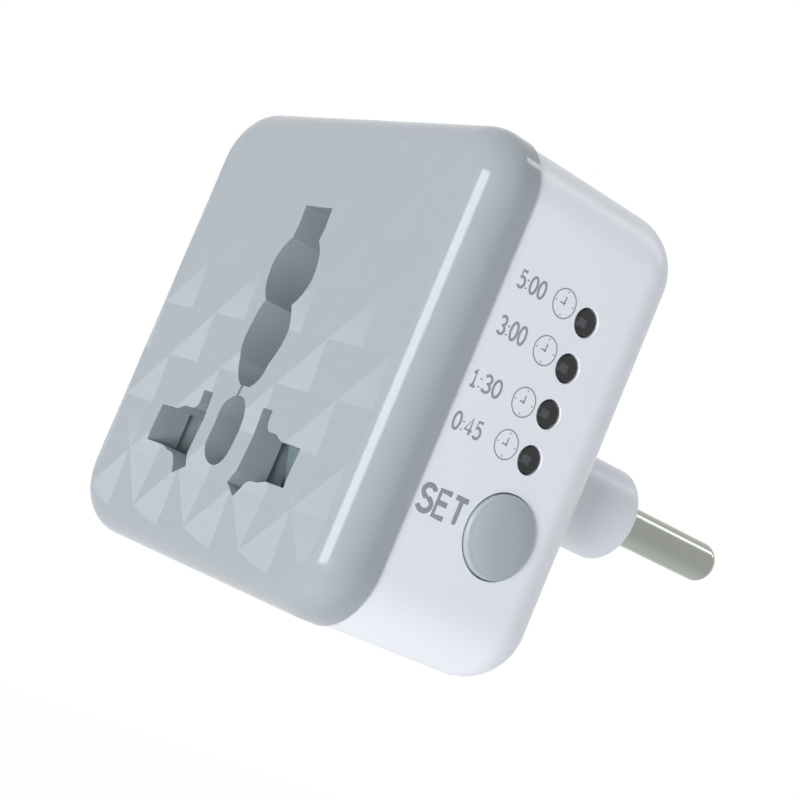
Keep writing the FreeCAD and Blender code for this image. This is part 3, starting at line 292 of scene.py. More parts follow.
def finish_piece(piece, body, material, smooth_angle=30, nodes=()):
    """Brings a piece from millimetres to metres, shades it, dresses it and sets it on its body."""
    piece.scale = (MM, MM, MM)
    settle(piece)
    shade(piece, smooth_angle)
    weighting = piece.modifiers.new("even_shading", "WEIGHTED_NORMAL")
    weighting.keep_sharp = True
    bpy.ops.object.modifier_apply(modifier=weighting.name)
    dress(piece, material)
    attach(piece, body)
    if nodes:
        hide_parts(*nodes)
    return piece


def arc(centre, radius, start, stop, steps=12):
    """Points on an arc between two angles in degrees."""
    points = []
    for step in range(steps + 1):
        angle = math.radians(start + (stop - start) * step / steps)
        points.append((centre[0] + radius * math.cos(angle), centre[1] + radius * math.sin(angle)))
    return points


def through(first, middle, last, steps):
    """Points on the arc from first to last that passes through middle."""
    (ax, ay), (bx, by), (cx, cy) = first, middle, last
    double = 2 * (ax * (by - cy) + bx * (cy - ay) + cx * (ay - by))
    a, b, c = ax * ax + ay * ay, bx * bx + by * by, cx * cx + cy * cy
    centre = (
        (a * (by - cy) + b * (cy - ay) + c * (ay - by)) / double,
        (a * (cx - bx) + b * (ax - cx) + c * (bx - ax)) / double,
    )
    radius = math.dist(centre, first)
    start, mid, stop = (
        math.degrees(math.atan2(point[1] - centre[1], point[0] - centre[0]))
        for point in (first, middle, last)
    )
    turn = (stop - start) % 360
    if (mid - start) % 360 > turn:
        turn -= 360
    return arc(centre, radius, start, start + turn, steps)


def flat_shape(name, outline, grow):
    """A flat face on the front plane that looks into the wall: an outline, grown on all sides."""
    clear_selection()
    curve = bpy.data.curves.new(name, "CURVE")
    curve.dimensions, curve.fill_mode = "2D", "BOTH"
    curve.offset = grow
    spline = curve.splines.new("POLY")
    spline.points.add(len(outline) - 1)
    for point, (x, z) in zip(spline.points, outline):
        point.co = (x, z, 0, 1)
    spline.use_cyclic_u = True
    shape = bpy.data.objects.new(name, curve)
    bpy.context.collection.objects.link(shape)
    shape.rotation_euler = TURNS["y"]
    shape.location = (0, FRONT, FACE_Z)
    work_on(shape)
    bpy.ops.object.convert(target="MESH")
    shape = settle(bpy.context.object)
    bpy.ops.object.mode_set(mode="EDIT")
    bpy.ops.mesh.select_mode(type="FACE")
    bpy.ops.mesh.select_all(action="SELECT")
    bpy.ops.mesh.dissolve_faces()
    leave_edit()
    if shape.data.polygons[0].normal.y < 0:
        bpy.ops.object.mode_set(mode="EDIT")
        bpy.ops.mesh.flip_normals()
        leave_edit()
    return shape


def close_front(tool, ahead):
    """Gives a cutter its front end, some way ahead of the face."""
    pick(tool, "EDGE", lies_at("y", FRONT))
    bpy.ops.mesh.extrude_edges_move(TRANSFORM_OT_translate={"value": (0, -ahead, 0)})
    bpy.ops.mesh.edge_face_add()
    bpy.ops.mesh.select_all(action="SELECT")
    bpy.ops.mesh.normals_make_consistent(inside=False)
    leave_edit()
    return tool


def slot_tool(name, outline, flare, steps=4):
    """A cutter for a slot of the face: straight walls that open out in a soft round in front."""
    tool = flat_shape(name, outline, flare)
    bpy.ops.object.mode_set(mode="EDIT")
    for step in range(steps):
        here, ahead = (math.radians(90 * number / steps) for number in (step, step + 1))
        bpy.ops.mesh.inset(
            thickness=flare * (math.sin(ahead) - math.sin(here)),
            depth=flare * (math.cos(here) - math.cos(ahead)),
        )
    drop = COLLAR_END + PAST - FRONT - flare
    bpy.ops.mesh.extrude_region_move(TRANSFORM_OT_translate={"value": (0, drop, 0)})
    leave_edit()
    return close_front(tool, PAST)


def prism(name, outline, grow, depth):
    """A plain prism of a grown outline, from ahead of the face to some way behind it."""
    piece = flat_shape(name, outline, grow)
    bpy.ops.object.mode_set(mode="EDIT")
    bpy.ops.mesh.extrude_region_move(TRANSFORM_OT_translate={"value": (0, depth, 0)})
    leave_edit()
    return close_front(piece, 3 * PAST)


def facet_tool():
    """A cutter that leaves a quilt of shallow four-sided dents in the face."""
    clear_selection()
    side = FACET_PITCH * math.sqrt(2)
    bpy.ops.mesh.primitive_grid_add(
        x_subdivisions=FACET_CELLS,
        y_subdivisions=FACET_CELLS,
        size=FACET_CELLS * side,
        location=(0, FRONT + FACET_RISE, FACE_Z + FACET_TOP - 3 * FACET_PITCH),
        rotation=(math.pi / 2, math.pi / 4, 0),
    )
    tool = settle(bpy.context.object)
    tool.name = "facets"
    bpy.ops.object.mode_set(mode="EDIT")
    bpy.ops.mesh.select_mode(type="FACE")
    bpy.ops.mesh.select_all(action="SELECT")
    bpy.ops.mesh.poke(offset=-FACET_DENT, center_mode="MEDIAN")
    reach = COVER_HALF_X + 4 * PAST
    for sign in (-1, 1):
        trims = (
            ((sign, 0, 0), (sign * reach, 0, 0)),
            ((0, 0, sign), (0, 0, FACE_Z + sign * reach)),
        )
        for normal, centre in trims:
            bpy.ops.mesh.select_all(action="SELECT")
            bpy.ops.mesh.bisect(plane_co=centre, plane_no=normal, clear_outer=True)
    bpy.ops.mesh.select_all(action="SELECT")
    bpy.ops.mesh.extrude_region_move(TRANSFORM_OT_translate={"value": (0, -2 * PAST, 0)})
    bpy.ops.mesh.select_all(action="SELECT")
    bpy.ops.mesh.normals_make_consistent(inside=False)
    leave_edit()
    return tool


def both_sides(outline):
    """An outline given for the right half, closed with its mirror image."""
    return outline + [(-x, z) for x, z in reversed(outline) if x > 0.01]


def face_slots():
    """Outlines of the five openings, from the face's centre. Right is the lamp side."""
    upper = [(2.6, 14.45), (2.6, 10.7)]
    upper += through((2.6, 10.7), (4.3, 7.6), (2.6, 3.3), 16)[1:]
    upper += through((2.6, 3.3), (3.8, -0.3), (2.95, -3.4), 14)[1:]
    upper += through((2.85, -3.7), (2.2, -5.2), (0.9, -6.3), 9)
    middle = arc((0, -10.0), 2.55, 90, 0, 16) + arc((0, -12.8), 2.55, 0, -90, 16)
    slit = [(-0.72, -5.9), (-0.28, -5.9), (-0.28, -7.9), (-0.72, -7.9)]
    right = [(5.3, -7.96), (7.2, -7.96), (7.2, -9.1)]
    right += arc((8.3, -9.1), 1.1, 180, 270, 16)[1:]
    right += [(9.6, -10.2), (11.0, -10.8), (14.6, -10.8), (14.6, -15.1), (11.0, -15.1)]
    right += [(9.6, -15.5), (8.6, -15.55), (8.0, -15.75), (7.6, -16.15), (6.6, -17.65)]
    right += [(4.5, -16.45), (5.3, -15.05)]
    left = [(-x, z) for x, z in right]
    return {
        "earth": both_sides(upper),
        "middle": both_sides(middle),
        "slit": slit,
        "right": right,
        "left": left,
    }


def make_cover(material):
    """The grey front: faceted plate with the slots, inner pad, collar, guard ribs and tongues."""
    heights = (FACE_Z - COVER_HALF_Z, FACE_Z + COVER_HALF_Z)
    cover = block("front_plate", (-COVER_HALF_X, COVER_HALF_X), (FRONT, SEAM), heights)
    round_edges(cover, runs_along("y"), COVER_CORNER)
    round_edges(cover, lies_at("y", FRONT), COVER_EDGE_ROUND)
    slots = face_slots()
    carve(cover, facet_tool())
    hollow = block(
        "hollow",
        (-COVER_HALF_X + COVER_WALL, COVER_HALF_X - COVER_WALL),
        (FRONT + FACE_WALL, SEAM + PAST),
        (heights[0] + COVER_WALL, heights[1] - COVER_WALL),
    )
    round_edges(hollow, runs_along("y"), COVER_CORNER - COVER_WALL, 8)
    round_edges(hollow, lies_at("y", FRONT + FACE_WALL), HOLLOW_ROUND, 6)
    carve(cover, hollow)
    pad = block(
        "pad",
        (-PAD_HALF_X, PAD_HALF_X),
        (FRONT + FACE_WALL - PAD_OVERLAP, SLOT_FLOOR),
        (FACE_Z - PAD_BELOW, FACE_Z + PAD_ABOVE),
    )
    weld(cover, pad)
    inner_start = SLOT_FLOOR - INNER_OVERLAP
    collar = prism("collar", slots["earth"], COLLAR_WALL, COLLAR_END - FRONT)
    carve(collar, block("ahead", (-9, 9), (FRONT - 4 * PAST, inner_start), heights))
    weld(cover, collar)
    guard_end = SLOT_FLOOR + GUARD_RISE
    for side in (-1, 1):
        guard = block(
            "guard",
            sorted(side * x for x in GUARD_X),
            (inner_start, guard_end),
            [FACE_Z - below for below in GUARD_BELOW],
        )
        round_edges(guard, lies_at("y", guard_end), 0.2, 2)
        weld(cover, guard)
        for x in (-TONGUE_X, TONGUE_X):
            for y, near, far in (TONGUE_STEM, TONGUE_HOOK):
                z = sorted((FACE_Z + side * near, FACE_Z + side * far))
                tongue = block("tongue", (x - TONGUE_HALF, x + TONGUE_HALF), y, z)
                round_edges(tongue, lies_at("y", y[1]), 0.3, 2)
                weld(cover, tongue)
    for name, outline in slots.items():
        flare = SLIT_FLARE if name == "slit" else FACE_SLOT_FLARE
        carve(cover, slot_tool(f"{name}_slot", outline, flare))
    return finish_piece(
        cover, "case", material, smooth_angle=6.4, nodes=["front_cover"]
    )


def srgb(red, green, blue):
    """A colour written as on a screen, 0 to 255, for the shader."""
    values = []
    for part in (red, green, blue):
        part /= 255
        values.append(part / 12.92 if part <= 0.04045 else ((part + 0.055) / 1.055) ** 2.4)
    return (*values, 1)


def surface(
    name,
    colour,
    roughness,
    metallic=0.0,
    mottle=0.03,
    patch=4.0,
    grain=0.25,
    relief=0.004,
    stretch=(1, 1, 1),
):
    """A finish whose colour and gloss wander a little, with a fine grain.

    Mottle is the share by which the colour wanders. Patch, grain and relief are in millimetres.
    """
    material = bpy.data.materials.new(name)
    material.use_nodes = True
    nodes, links = material.node_tree.nodes, material.node_tree.links
    shader = nodes["Principled BSDF"]
    shader.inputs["Metallic"].default_value = metallic
    place = nodes.new("ShaderNodeTexCoord")
    turn = nodes.new("ShaderNodeMapping")
    turn.inputs["Scale"].default_value = stretch
    links.new(place.outputs["Object"], turn.inputs["Vector"])
    wide = nodes.new("ShaderNodeTexNoise")
    wide.inputs["Scale"].default_value = 1 / (patch * MM)
    wide.inputs["Detail"].default_value = 3
    fine = nodes.new("ShaderNodeTexNoise")
    fine.inputs["Scale"].default_value = 1 / (grain * MM)
    fine.inputs["Detail"].default_value = 2
    for texture in (wide, fine):
        links.new(turn.outputs["Vector"], texture.inputs["Vector"])
    blend = nodes.new("ShaderNodeMix")
    blend.data_type = "RGBA"
    darker = [part * (1 - mottle) for part in colour[:3]]
    lighter = [min(1, part * (1 + mottle)) for part in colour[:3]]
    blend.inputs["A"].default_value = (*darker, 1)
    blend.inputs["B"].default_value = (*lighter, 1)
    links.new(wide.outputs["Fac"], blend.inputs["Factor"])
    links.new(blend.outputs["Result"], shader.inputs["Base Color"])
    gloss = nodes.new("ShaderNodeMapRange")
    gloss.inputs["To Min"].default_value = roughness * 0.85
    gloss.inputs["To Max"].default_value = roughness * 1.15
    links.new(fine.outputs["Fac"], gloss.inputs["Value"])
    links.new(gloss.outputs["Result"], shader.inputs["Roughness"])
    bump = nodes.new("ShaderNodeBump")
    bump.inputs["Strength"].default_value = 1
    bump.inputs["Distance"].default_value = relief * MM
    links.new(fine.outputs["Fac"], bump.inputs["Height"])
    links.new(bump.outputs["Normal"], shader.inputs["Normal"])
    return material


# Each finish: its colour as on a screen, its roughness, and what differs from a plain surface.
FINISHES = {
    "cover_plastic": ((156, 164, 171), 0.12, dict(mottle=0.015, relief=0.001)),
    "body_plastic": ((236, 240, 247), 0.32, dict(mottle=0.01, relief=0.003)),
    "button_plastic": ((168, 178, 184), 0.3, dict(mottle=0.02)),
    "shutter_plastic": ((128, 148, 150), 0.4, {}),
    "carrier_plastic": ((166, 178, 182), 0.45, {}),
    "print_ink": ((146, 151, 160), 0.6, dict(mottle=0.06, patch=0.4, grain=0.08)),
    "pin_nickel": (
        (148, 152, 145),
        0.16,
        dict(metallic=1, mottle=0.04, patch=2, grain=0.08, relief=0.0006, stretch=(1, 0.06, 1)),
    ),
    "contact_brass": (
        (196, 158, 82), 0.3, dict(metallic=1, mottle=0.08, patch=1.5, grain=0.1, relief=0.001)
    ),
    "spring_steel": (
        (176, 178, 180), 0.25, dict(metallic=1, mottle=0.05, patch=1, grain=0.1, relief=0.001)
    ),
    "screw_steel": (
        (170, 170, 166), 0.3, dict(metallic=1, mottle=0.08, patch=1, grain=0.12, relief=0.002)
    ),
    "lamp_lens": ((80, 86, 96), 0.06, dict(patch=0.8, relief=0.0003)),
    "lamp_lead": (
        (190, 192, 194), 0.25, dict(metallic=1, mottle=0.05, patch=1, grain=0.1, relief=0.001)
    ),
    "board_laminate": ((46, 92, 58), 0.45, dict(mottle=0.1, patch=1.2)),
    "black_plastic": ((34, 35, 38), 0.45, dict(mottle=0.08)),
    "capacitor_sleeve": ((28, 36, 62), 0.3, dict(mottle=0.05)),
    "resistor_body": ((196, 176, 134), 0.4, dict(mottle=0.06, patch=1)),
    "capacitor_box": ((158, 60, 42), 0.35, dict(mottle=0.05)),
    "disc_coating": ((36, 84, 148), 0.4, dict(mottle=0.06, patch=1, relief=0.02)),
    "relay_blue": ((44, 96, 168), 0.3, dict(mottle=0.04)),
    "coil_copper": (
        (176, 98, 56),
        0.35,
        dict(metallic=1, mottle=0.1, patch=0.6, grain=0.12, relief=0.01, stretch=(6, 1, 1)),
    ),
    "wire_blue": ((40, 88, 170), 0.4, dict(mottle=0.04)),
    "wire_brown": ((110, 66, 42), 0.4, dict(mottle=0.04)),
    "wire_black": ((30, 30, 33), 0.4, dict(mottle=0.05)),
}


def make_materials():
    """Every finish of the object, by name. The lamps' lens is clear grey resin."""
    made = {
        name: surface(name, srgb(*colour), roughness, **more)
        for name, (colour, roughness, more) in FINISHES.items()
    }
    resin = made["lamp_lens"].node_tree.nodes["Principled BSDF"]
    resin.inputs["Transmission Weight"].default_value = 1
    resin.inputs["IOR"].default_value = 1.5
    return made


# The CAD nodes that get each finish. Those that a modelled piece replaces have its finish too.
NODE_FINISHES = {
    "pin_nickel": ["plug_pin_left", "plug_pin_right"],
    "carrier_plastic": ["contact_carrier", "pin_clamp_plate"],
    "shutter_plastic": ["safety_shutter"],
    "spring_steel": [
        "shutter_spring_left", "shutter_spring_right", "push_switch_cover", "relay_frame",
    ],
    "contact_brass": ["live_contact", "neutral_contact", "relay_contact", "relay_armature"],
    "board_laminate": ["control_board", "power_board"],
    "black_plastic": [
        "push_switch_body", "push_switch_plunger", "timer_chip", "driver_transistor",
        "rectifier_diodes", "relay_base",
    ],
    "capacitor_sleeve": ["smoothing_capacitor"],
    "resistor_body": ["control_resistors", "fuse_tube"],
    "capacitor_box": ["dropper_capacitor"],
    "disc_coating": ["surge_disc"],
    "relay_blue": ["relay_case"],
    "coil_copper": ["relay_coil"],
    "wire_blue": ["neutral_wire", "neutral_feed_wire"],
    "wire_brown": ["live_feed_wire"],
    "wire_black": ["live_switched_wire", "board_link_wires"],
    "screw_steel": ["carrier_screw"],
    "lamp_lens": [f"indicator_lamp_{number}" for number in range(1, 5)],
    "button_plastic": ["set_button"],
    "body_plastic": ["main_housing"],
    "cover_plastic": ["front_cover"],
}


def dress_nodes(materials):
    """Gives every CAD node its finish."""
    for finish, names in NODE_FINISHES.items():
        for name in names:
            dress(frame["nodes"][name], materials[finish])


def make_body(material):
    """The white body: rounded shell with its lip, posts, lamp holes and button hole."""
    heights = (FACE_Z - BODY_HALF_Z, FACE_Z + BODY_HALF_Z)
    body = block("body_shell", (-BODY_HALF_X, BODY_HALF_X), (SEAM, 0), heights)
    round_edges(body, runs_along("y"), BODY_CORNER)
    round_edges(body, lies_at("y", 0), BODY_EDGE_ROUND)
    round_edges(body, lies_at("y", SEAM), 0.15, 3)
    for x in (-PIN_X, PIN_X):
        post = bar("post", "y", (x, 0), (WALL_INSIDE, POST_LENGTH), POST_DIAMETER)
        round_edges(post, lies_at("y", POST_LENGTH), POST_ROUND, 8)
        weld(body, post)
    at_root = on_ring("y", 0, (PIN_X, 0), POST_DIAMETER)

    def at_either_root(points):
        return at_root([(abs(x), y, z) for x, y, z in points])

    round_edges(body, at_either_root, POST_ROOT, 6)
    lip_x, lip_z = COVER_HALF_X - LIP_INSET, COVER_HALF_Z - LIP_INSET
    lip = block(
        "lip",
        (-lip_x, lip_x),
        (SEAM - LIP_LENGTH, SEAM + PAST),
        (FACE_Z - lip_z, FACE_Z + lip_z),
    )
    round_edges(lip, runs_along("y"), COVER_CORNER - LIP_INSET, 8)
    weld(body, lip)
    inner_x, inner_z = BODY_HALF_X - BODY_WALL, BODY_HALF_Z - BODY_WALL
    cavity = block(
        "cavity",
        (-inner_x, inner_x),
        (SEAM - 4 * PAST, -BODY_WALL),
        (FACE_Z - inner_z, FACE_Z + inner_z),
    )
    round_edges(cavity, runs_along("y"), CAVITY_CORNER, 8)
    round_edges(cavity, lies_at("y", -BODY_WALL), CAVITY_ROUND, 6)
    carve(body, cavity)
    weld(body, bar("boss", "y", (0, 0), (BOSS_END, WALL_INSIDE), BOSS_DIAMETER))
    tools = [
        bar("recess", "y", (0, 0), (RECESS_FLOOR, PAST), RECESS_DIAMETER),
        bar("screw_hole", "y", (0, 0), (-6, 0), SCREW_HOLE),
    ]
    for x in (-PIN_X, PIN_X):
        span = (STEM_BORE_START, POST_LENGTH + PAST)
        tools.append(bar("stem_bore", "y", (x, 0), span, STEM_BORE))
    through_wall = (inner_x - PAST, BODY_HALF_X + PAST)
    for z in LAMP_HEIGHTS:
        tools.append(bar("lamp_hole", "x", (LAMP_Y, z), through_wall, LAMP_HOLE, 64))
    tools.append(bar("button_hole", "x", (BUTTON_Y, BUTTON_Z), through_wall, BUTTON_HOLE))
    carve(body, *tools)
    for z in LAMP_HEIGHTS:
        round_edges(body, on_ring("x", BODY_HALF_X, (LAMP_Y, z), LAMP_HOLE), 0.1, 4)
    round_edges(body, on_ring("x", BODY_HALF_X, (BUTTON_Y, BUTTON_Z), BUTTON_HOLE), 0.12, 3)
    round_edges(body, on_ring("y", 0, (0, 0), RECESS_DIAMETER), 0.2, 3)
    return finish_piece(
        body, "case", material, smooth_angle=12, nodes=["main_housing"]
    )


def make_button(material):
    """The round SET button: low dome with a soft edge and its flange inside the wall."""
    centre = (BUTTON_Y, BUTTON_Z)
    button = bar("set_button_cap", "x", centre, (CAP_FOOT, BUTTON_TOP), BUTTON_CAP)
    round_edges(button, lies_at("x", BUTTON_TOP), BUTTON_ROUND, 8)
    pick(button, "FACE", lies_at("x", BUTTON_TOP))
    for width, rise in DOME_STEPS:
        bpy.ops.mesh.inset(thickness=width, depth=rise)
    leave_edit()
    flange = bar("flange", "x", centre, (FLANGE_FOOT, FLANGE_FOOT + 1), FLANGE_DIAMETER)
    round_edges(flange, lies_at("x", FLANGE_FOOT), 0.2, 3)
    weld(button, flange)
    return finish_piece(
        button, "button", material, smooth_angle=25, nodes=["set_button"]
    )


def make_lamp(number, z, lens_material, metal):
    """A 3 mm lamp: smoky lens with a rim, and the two leads whose ends show inside it."""
    centre = (LAMP_Y, z)
    lens = bar(f"lamp_lens_{number}", "x", centre, (LENS_FOOT, LENS_TIP), LENS_DIAMETER, 64)
    round_edges(lens, lies_at("x", LENS_TIP), LENS_ROUND, 8)
    rim = bar("rim", "x", centre, (LENS_FOOT, LENS_RIM_TOP), LENS_RIM_DIAMETER, 64)
    round_edges(rim, lies_at("x", LENS_RIM_TOP), 0.2, 3)
    weld(lens, rim)
    finish_piece(
        lens, "case", lens_material, nodes=[f"indicator_lamp_{number}"]
    )
    leads = []
    for y, foot, top, cup in LEADS:
        step = -math.copysign(cup, y) / 2
        lead = block(
            "lead",
            (foot, top),
            (LAMP_Y + y - LEAD_HALF_Y, LAMP_Y + y + LEAD_HALF_Y),
            (z - LEAD_HALF_Z, z + LEAD_HALF_Z),
        )
        pick(lead, "FACE", lies_at("x", top))
        for rise in (0.5, 0.45):
            bpy.ops.mesh.extrude_region_move(TRANSFORM_OT_translate={"value": (rise, step, 0)})
        bpy.ops.transform.resize(value=(1, 1.7, 2.2))
        leave_edit()
        leads.append(round_edges(lead, lambda ends: True, 0.05, 1))
    pair = join(leads, f"lamp_leads_{number}")
    finish_piece(pair, "case", metal)


def make_springs(material):
    """The shutter's two springs: copies of their CAD nodes, with doubled points merged, smoothed
    and dressed, that stand in their place.
    """
    for side in ("left", "right"):
        node = frame["nodes"][f"shutter_spring_{side}"]
        work_on(node)
        bpy.ops.object.duplicate()
        spring = bpy.context.object
        bpy.ops.object.parent_clear(type="CLEAR_KEEP_TRANSFORM")
        settle(spring)
        spring.name = f"return_spring_{side}"
        merge(spring, 0.005 * MM)
        leave_edit()
        shade(spring, 40)
        dress(spring, material)
        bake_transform(spring)
        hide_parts(f"shutter_spring_{side}")


def oval(centre, radii, start, stop, steps=18):
    """Points along an oval between two angles in degrees."""
    points = []
    for step in range(steps + 1):
        turn = math.radians(start + (stop - start) * step / steps)
        points.append(
            (centre[0] + radii[0] * math.cos(turn), centre[1] + radii[1] * math.sin(turn))
        )
    return points


# Each sign of the markings: its width and its pen strokes, for a height of one.
SIGNS = {
    "0": (0.46, [oval((0.23, 0.5), (0.23, 0.5), 90, 450, 32)]),
    "1": (0.32, [[(0.02, 0.76), (0.1, 0.82), (0.17, 1), (0.17, 0)], [(0.02, 0), (0.32, 0)]]),
    "3": (
        0.44,
        [oval((0.2, 0.75), (0.2, 0.25), 155, -90) + oval((0.2, 0.25), (0.24, 0.25), 90, -150)],
    ),
    "4": (0.5, [[(0.36, 0), (0.36, 1), (0.0, 0.27), (0.5, 0.27)]]),
    "5": (
        0.44, [[(0.4, 1), (0.1, 1), (0.05, 0.53)] + oval((0.2, 0.32), (0.24, 0.32), 125, -140)]
    ),
    ":": (0.08, [[(0.04, 0.08), (0.04, 0.16)], [(0.04, 0.56), (0.04, 0.64)]]),
    "S": (
        0.5,
        [oval((0.26, 0.76), (0.22, 0.24), 20, 270) + oval((0.25, 0.26), (0.25, 0.26), 90, -160)],
    ),
    "E": (0.42, [[(0.42, 1), (0, 1), (0, 0), (0.42, 0)], [(0, 0.53), (0.38, 0.53)]]),
    "T": (0.5, [[(0, 1), (0.5, 1)], [(0.25, 1), (0.25, 0)]]),
}


def word(name, text, y, z, pen):
    """One word on the lamp side, between limits along Y and Z, with a pen of some width."""
    wide = sum(SIGNS[sign][0] for sign in text) + SIGN_GAP * (len(text) - 1)
    across, up = (y[1] - y[0] - pen) / wide, z[1] - z[0] - pen
    curve = bpy.data.curves.new(name, "CURVE")
    curve.dimensions = "3D"
    curve.bevel_depth, curve.bevel_resolution, curve.use_fill_caps = pen / 2, 2, True
    start = 0
    for sign in text:
        width, strokes = SIGNS[sign]
        for stroke in strokes:
            spline = curve.splines.new("POLY")
            spline.points.add(len(stroke) - 1)
            for point, (right, high) in zip(spline.points, stroke):
                point.co = ((start + right) * across, high * up, 0, 1)
        start += width + SIGN_GAP
    piece = bpy.data.objects.new(name, curve)
    bpy.context.collection.objects.link(piece)
    work_on(piece)
    bpy.ops.object.convert(target="MESH")
    piece = bpy.context.object
    merge(piece, 0.002)
    bpy.ops.mesh.normals_make_consistent(inside=False)
    leave_edit()
    piece.scale = (1, 1, PRINT_RELIEF / pen)
    piece.rotation_euler = (math.pi / 2, 0, math.pi / 2)
    piece.location = (BODY_HALF_X, y[0] + pen / 2, z[0] + pen / 2)
    return settle(piece)


def clock_sign(name, y, z):
    """The small clock printed beside each lamp: ring, four marks and two hands."""
    ink = [BODY_HALF_X + rise for rise in CLOCK_RELIEF]
    ring = bar("ring", "x", (y, z), ink, CLOCK_RING, 64)
    inside = (BODY_HALF_X - PAST, BODY_HALF_X + PAST)
    parts = [carve(ring, bar("inside", "x", (y, z), inside, CLOCK_INSIDE, 64))]
    for across, up in ((0, 1), (1, 0), (0, -1), (-1, 0)):
        centre = (y + across * MARK_DISTANCE, z + up * MARK_DISTANCE)
        parts.append(bar("mark", "x", centre, ink, MARK_DIAMETER, 12))
    for across, up in (LONG_HAND, SHORT_HAND):
        hand_y, hand_z = [y + edge for edge in across], [z + edge for edge in up]
        parts.append(block("hand", ink, hand_y, hand_z))
    return join(parts, name)


def make_prints(material):
    """The grey markings: four times, four clocks and the word SET."""
    words = (
        ("five_hours", "5:00", (-21.8, -17.9), (14.16, 16.16), TIME_PEN),
        ("three_hours", "3:00", (-21.9, -18.0), (9.16, 11.26), TIME_PEN),
        ("ninety_minutes", "1:30", (-22.5, -18.3), (3.36, 5.36), TIME_PEN),
        ("forty_five_minutes", "0:45", (-22.6, -18.6), (-1.14, 0.86), TIME_PEN),
        ("set", "SET", (-22.95, -16.5), (-9.78, -6.62), SET_PEN),
    )
    pieces = [word(f"print_{name}", text, y, z, pen) for name, text, y, z, pen in words]
    for number, z in enumerate(CLOCK_HEIGHTS, 1):
        pieces.append(clock_sign(f"print_clock_{number}", CLOCK_Y, z))
    for piece in pieces:
        finish_piece(piece, "case", material)


def aim(lamp, target):
    """Turns a lamp to face a point."""
    lamp.rotation_mode = "QUATERNION"
    lamp.rotation_quaternion = (Vector(target) - lamp.location).to_track_quat("-Z", "Y")


def soft_box(name, azimuth, elevation, distance, size, power, card=False):
    """An area lamp round the object: azimuth 0 is ahead of the face and positive to its right.

    A card shows only as a reflection, and the other lamps only as light.
    """
    turn, rise = math.radians(azimuth), math.radians(elevation)
    data = bpy.data.lights.new(name, "AREA")
    data.shape = "RECTANGLE"
    data.size, data.size_y = size
    data.energy = power
    lamp = bpy.data.objects.new(name, data)
    bpy.context.collection.objects.link(lamp)
    lamp.location = Vector((
        math.sin(turn) * math.cos(rise) * distance,
        -math.cos(turn) * math.cos(rise) * distance,
        math.sin(rise) * distance,
    ))
    aim(lamp, (0, -0.015, 0.002))
    lamp.visible_camera = lamp.visible_transmission = False
    lamp.visible_diffuse, lamp.visible_glossy = not card, card
    return lamp


def make_camera():
    """The photograph's point of view, worked out from the object's straight edges."""
    turn, tilt, roll = (math.radians(angle) for angle in (55.315, -4.326, 22.791))
    ahead = (-math.sin(turn) * math.cos(tilt), math.cos(turn) * math.cos(tilt), -math.sin(tilt))
    forward = Vector(ahead)
    level = forward.cross(Vector((0, 0, 1))).normalized()
    rise = level.cross(forward)
    right = math.cos(roll) * level + math.sin(roll) * rise
    up = -math.sin(roll) * level + math.cos(roll) * rise
    data = bpy.data.cameras.new("camera")
    data.lens, data.sensor_width = 84.416, 36
    data.shift_x, data.shift_y = 0.0666, 0.03647
    data.clip_start, data.clip_end = 0.01, 20
    camera = bpy.data.objects.new("camera", data)
    bpy.context.collection.objects.link(camera)
    matrix = Matrix((right, up, -forward)).transposed().to_4x4()
    matrix.translation = Vector((169.641, -132.662, -18.768)) * MM
    camera.matrix_world = matrix
    bpy.context.scene.camera = camera


def seen_by_lens(nodes, links, rays=("Is Camera Ray", "Is Glossy Ray", "Is Transmission Ray")):
    """One where the camera, a mirror or glass looks, nought for all other light."""
    path = nodes.new("ShaderNodeLightPath")
    result = path.outputs[rays[0]]
    for ray in rays[1:]:
        either = nodes.new("ShaderNodeMath")
        either.operation = "MAXIMUM"
        links.new(result, either.inputs[0])
        links.new(path.outputs[ray], either.inputs[1])
        result = either.outputs[0]
    return result


def choose(nodes, links, share, first, second, target):
    """Mixes two shaders by a share into a target."""
    mix = nodes.new("ShaderNodeMixShader")
    links.new(share, mix.inputs["Fac"])
    links.new(first.outputs[0], mix.inputs[1])
    links.new(second.outputs[0], mix.inputs[2])
    links.new(mix.outputs[0], target.inputs["Surface"])


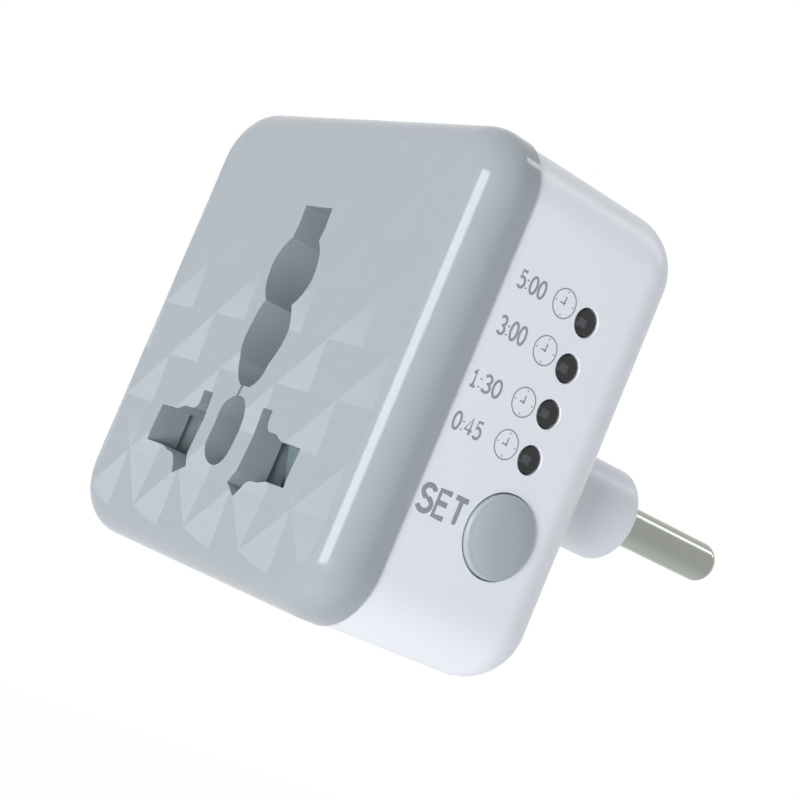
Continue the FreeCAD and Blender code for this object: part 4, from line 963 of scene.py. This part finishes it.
def make_surroundings():
    """A world that lights softly and looks white."""
    world = bpy.data.worlds.new("studio")
    bpy.context.scene.world = world
    world.use_nodes = True
    nodes, links = world.node_tree.nodes, world.node_tree.links
    shine = nodes["Background"]
    shine.inputs["Color"].default_value = (0.95, 0.975, 1, 1)
    shine.inputs["Strength"].default_value = 0.4
    white = nodes.new("ShaderNodeBackground")
    white.inputs["Strength"].default_value = 1
    white.inputs["Color"].default_value = (1, 1, 1, 1)
    choose(nodes, links, seen_by_lens(nodes, links), shine, white, nodes["World Output"])


def floor_finish():
    """Pale matt paint that looks white where no shadow falls."""
    material = surface("floor_paint", (0.9, 0.9, 0.9, 1), 0.9)
    nodes, links = material.node_tree.nodes, material.node_tree.links
    paint = nodes["Principled BSDF"]
    paint.inputs["Specular IOR Level"].default_value = 0
    glow = nodes.new("ShaderNodeEmission")
    glow.inputs["Strength"].default_value = 0.64
    both = nodes.new("ShaderNodeAddShader")
    links.new(paint.outputs[0], both.inputs[0])
    links.new(glow.outputs[0], both.inputs[1])
    choose(nodes, links, seen_by_lens(nodes, links), paint, both, nodes["Material Output"])
    return material


def make_stage():
    """Pale floor below the object, white surroundings and soft lamps."""
    clear_selection()
    bpy.ops.mesh.primitive_plane_add(size=6, location=(0, 0, FLOOR_Z))
    floor = bpy.context.object
    floor.name = "floor"
    floor.data.materials.append(floor_finish())
    make_surroundings()
    soft_box("top_box", -10, 50, 0.6, (0.45, 0.45), 1.17)
    soft_box("right_box", 31, -16, 0.6, (0.24, 0.24), 2.78)
    soft_box("back_box", 180, 0, 0.6, (0.2, 0.2), 0.75)
    soft_box("left_box", -115, 0, 0.6, (0.3, 0.3), 0.8)
    soft_box("edge_card", 14, 6, 0.6, (0.24, 0.46), 2.3, card=True)
    soft_box("facet_card", -50, -2.2, 0.6, (0.115, 0.13), 0.053, card=True)
    soft_box("pin_shade", -147, 33, 1.0, (1.4, 1.4), 0.02, card=True)
    soft_box("pin_card", 170, 44.7, 0.6, (0.1, 0.35), 0.34, card=True)


materials = make_materials()
dress_nodes(materials)
make_cover(materials["cover_plastic"])
make_body(materials["body_plastic"])
make_button(materials["button_plastic"])
make_prints(materials["print_ink"])
for lamp_number, lamp_z in enumerate(LAMP_HEIGHTS, 1):
    make_lamp(lamp_number, lamp_z, materials["lamp_lens"], materials["lamp_lead"])
make_springs(materials["spring_steel"])
make_camera()
make_stage()
bpy.context.scene.view_settings.view_transform = "Standard"
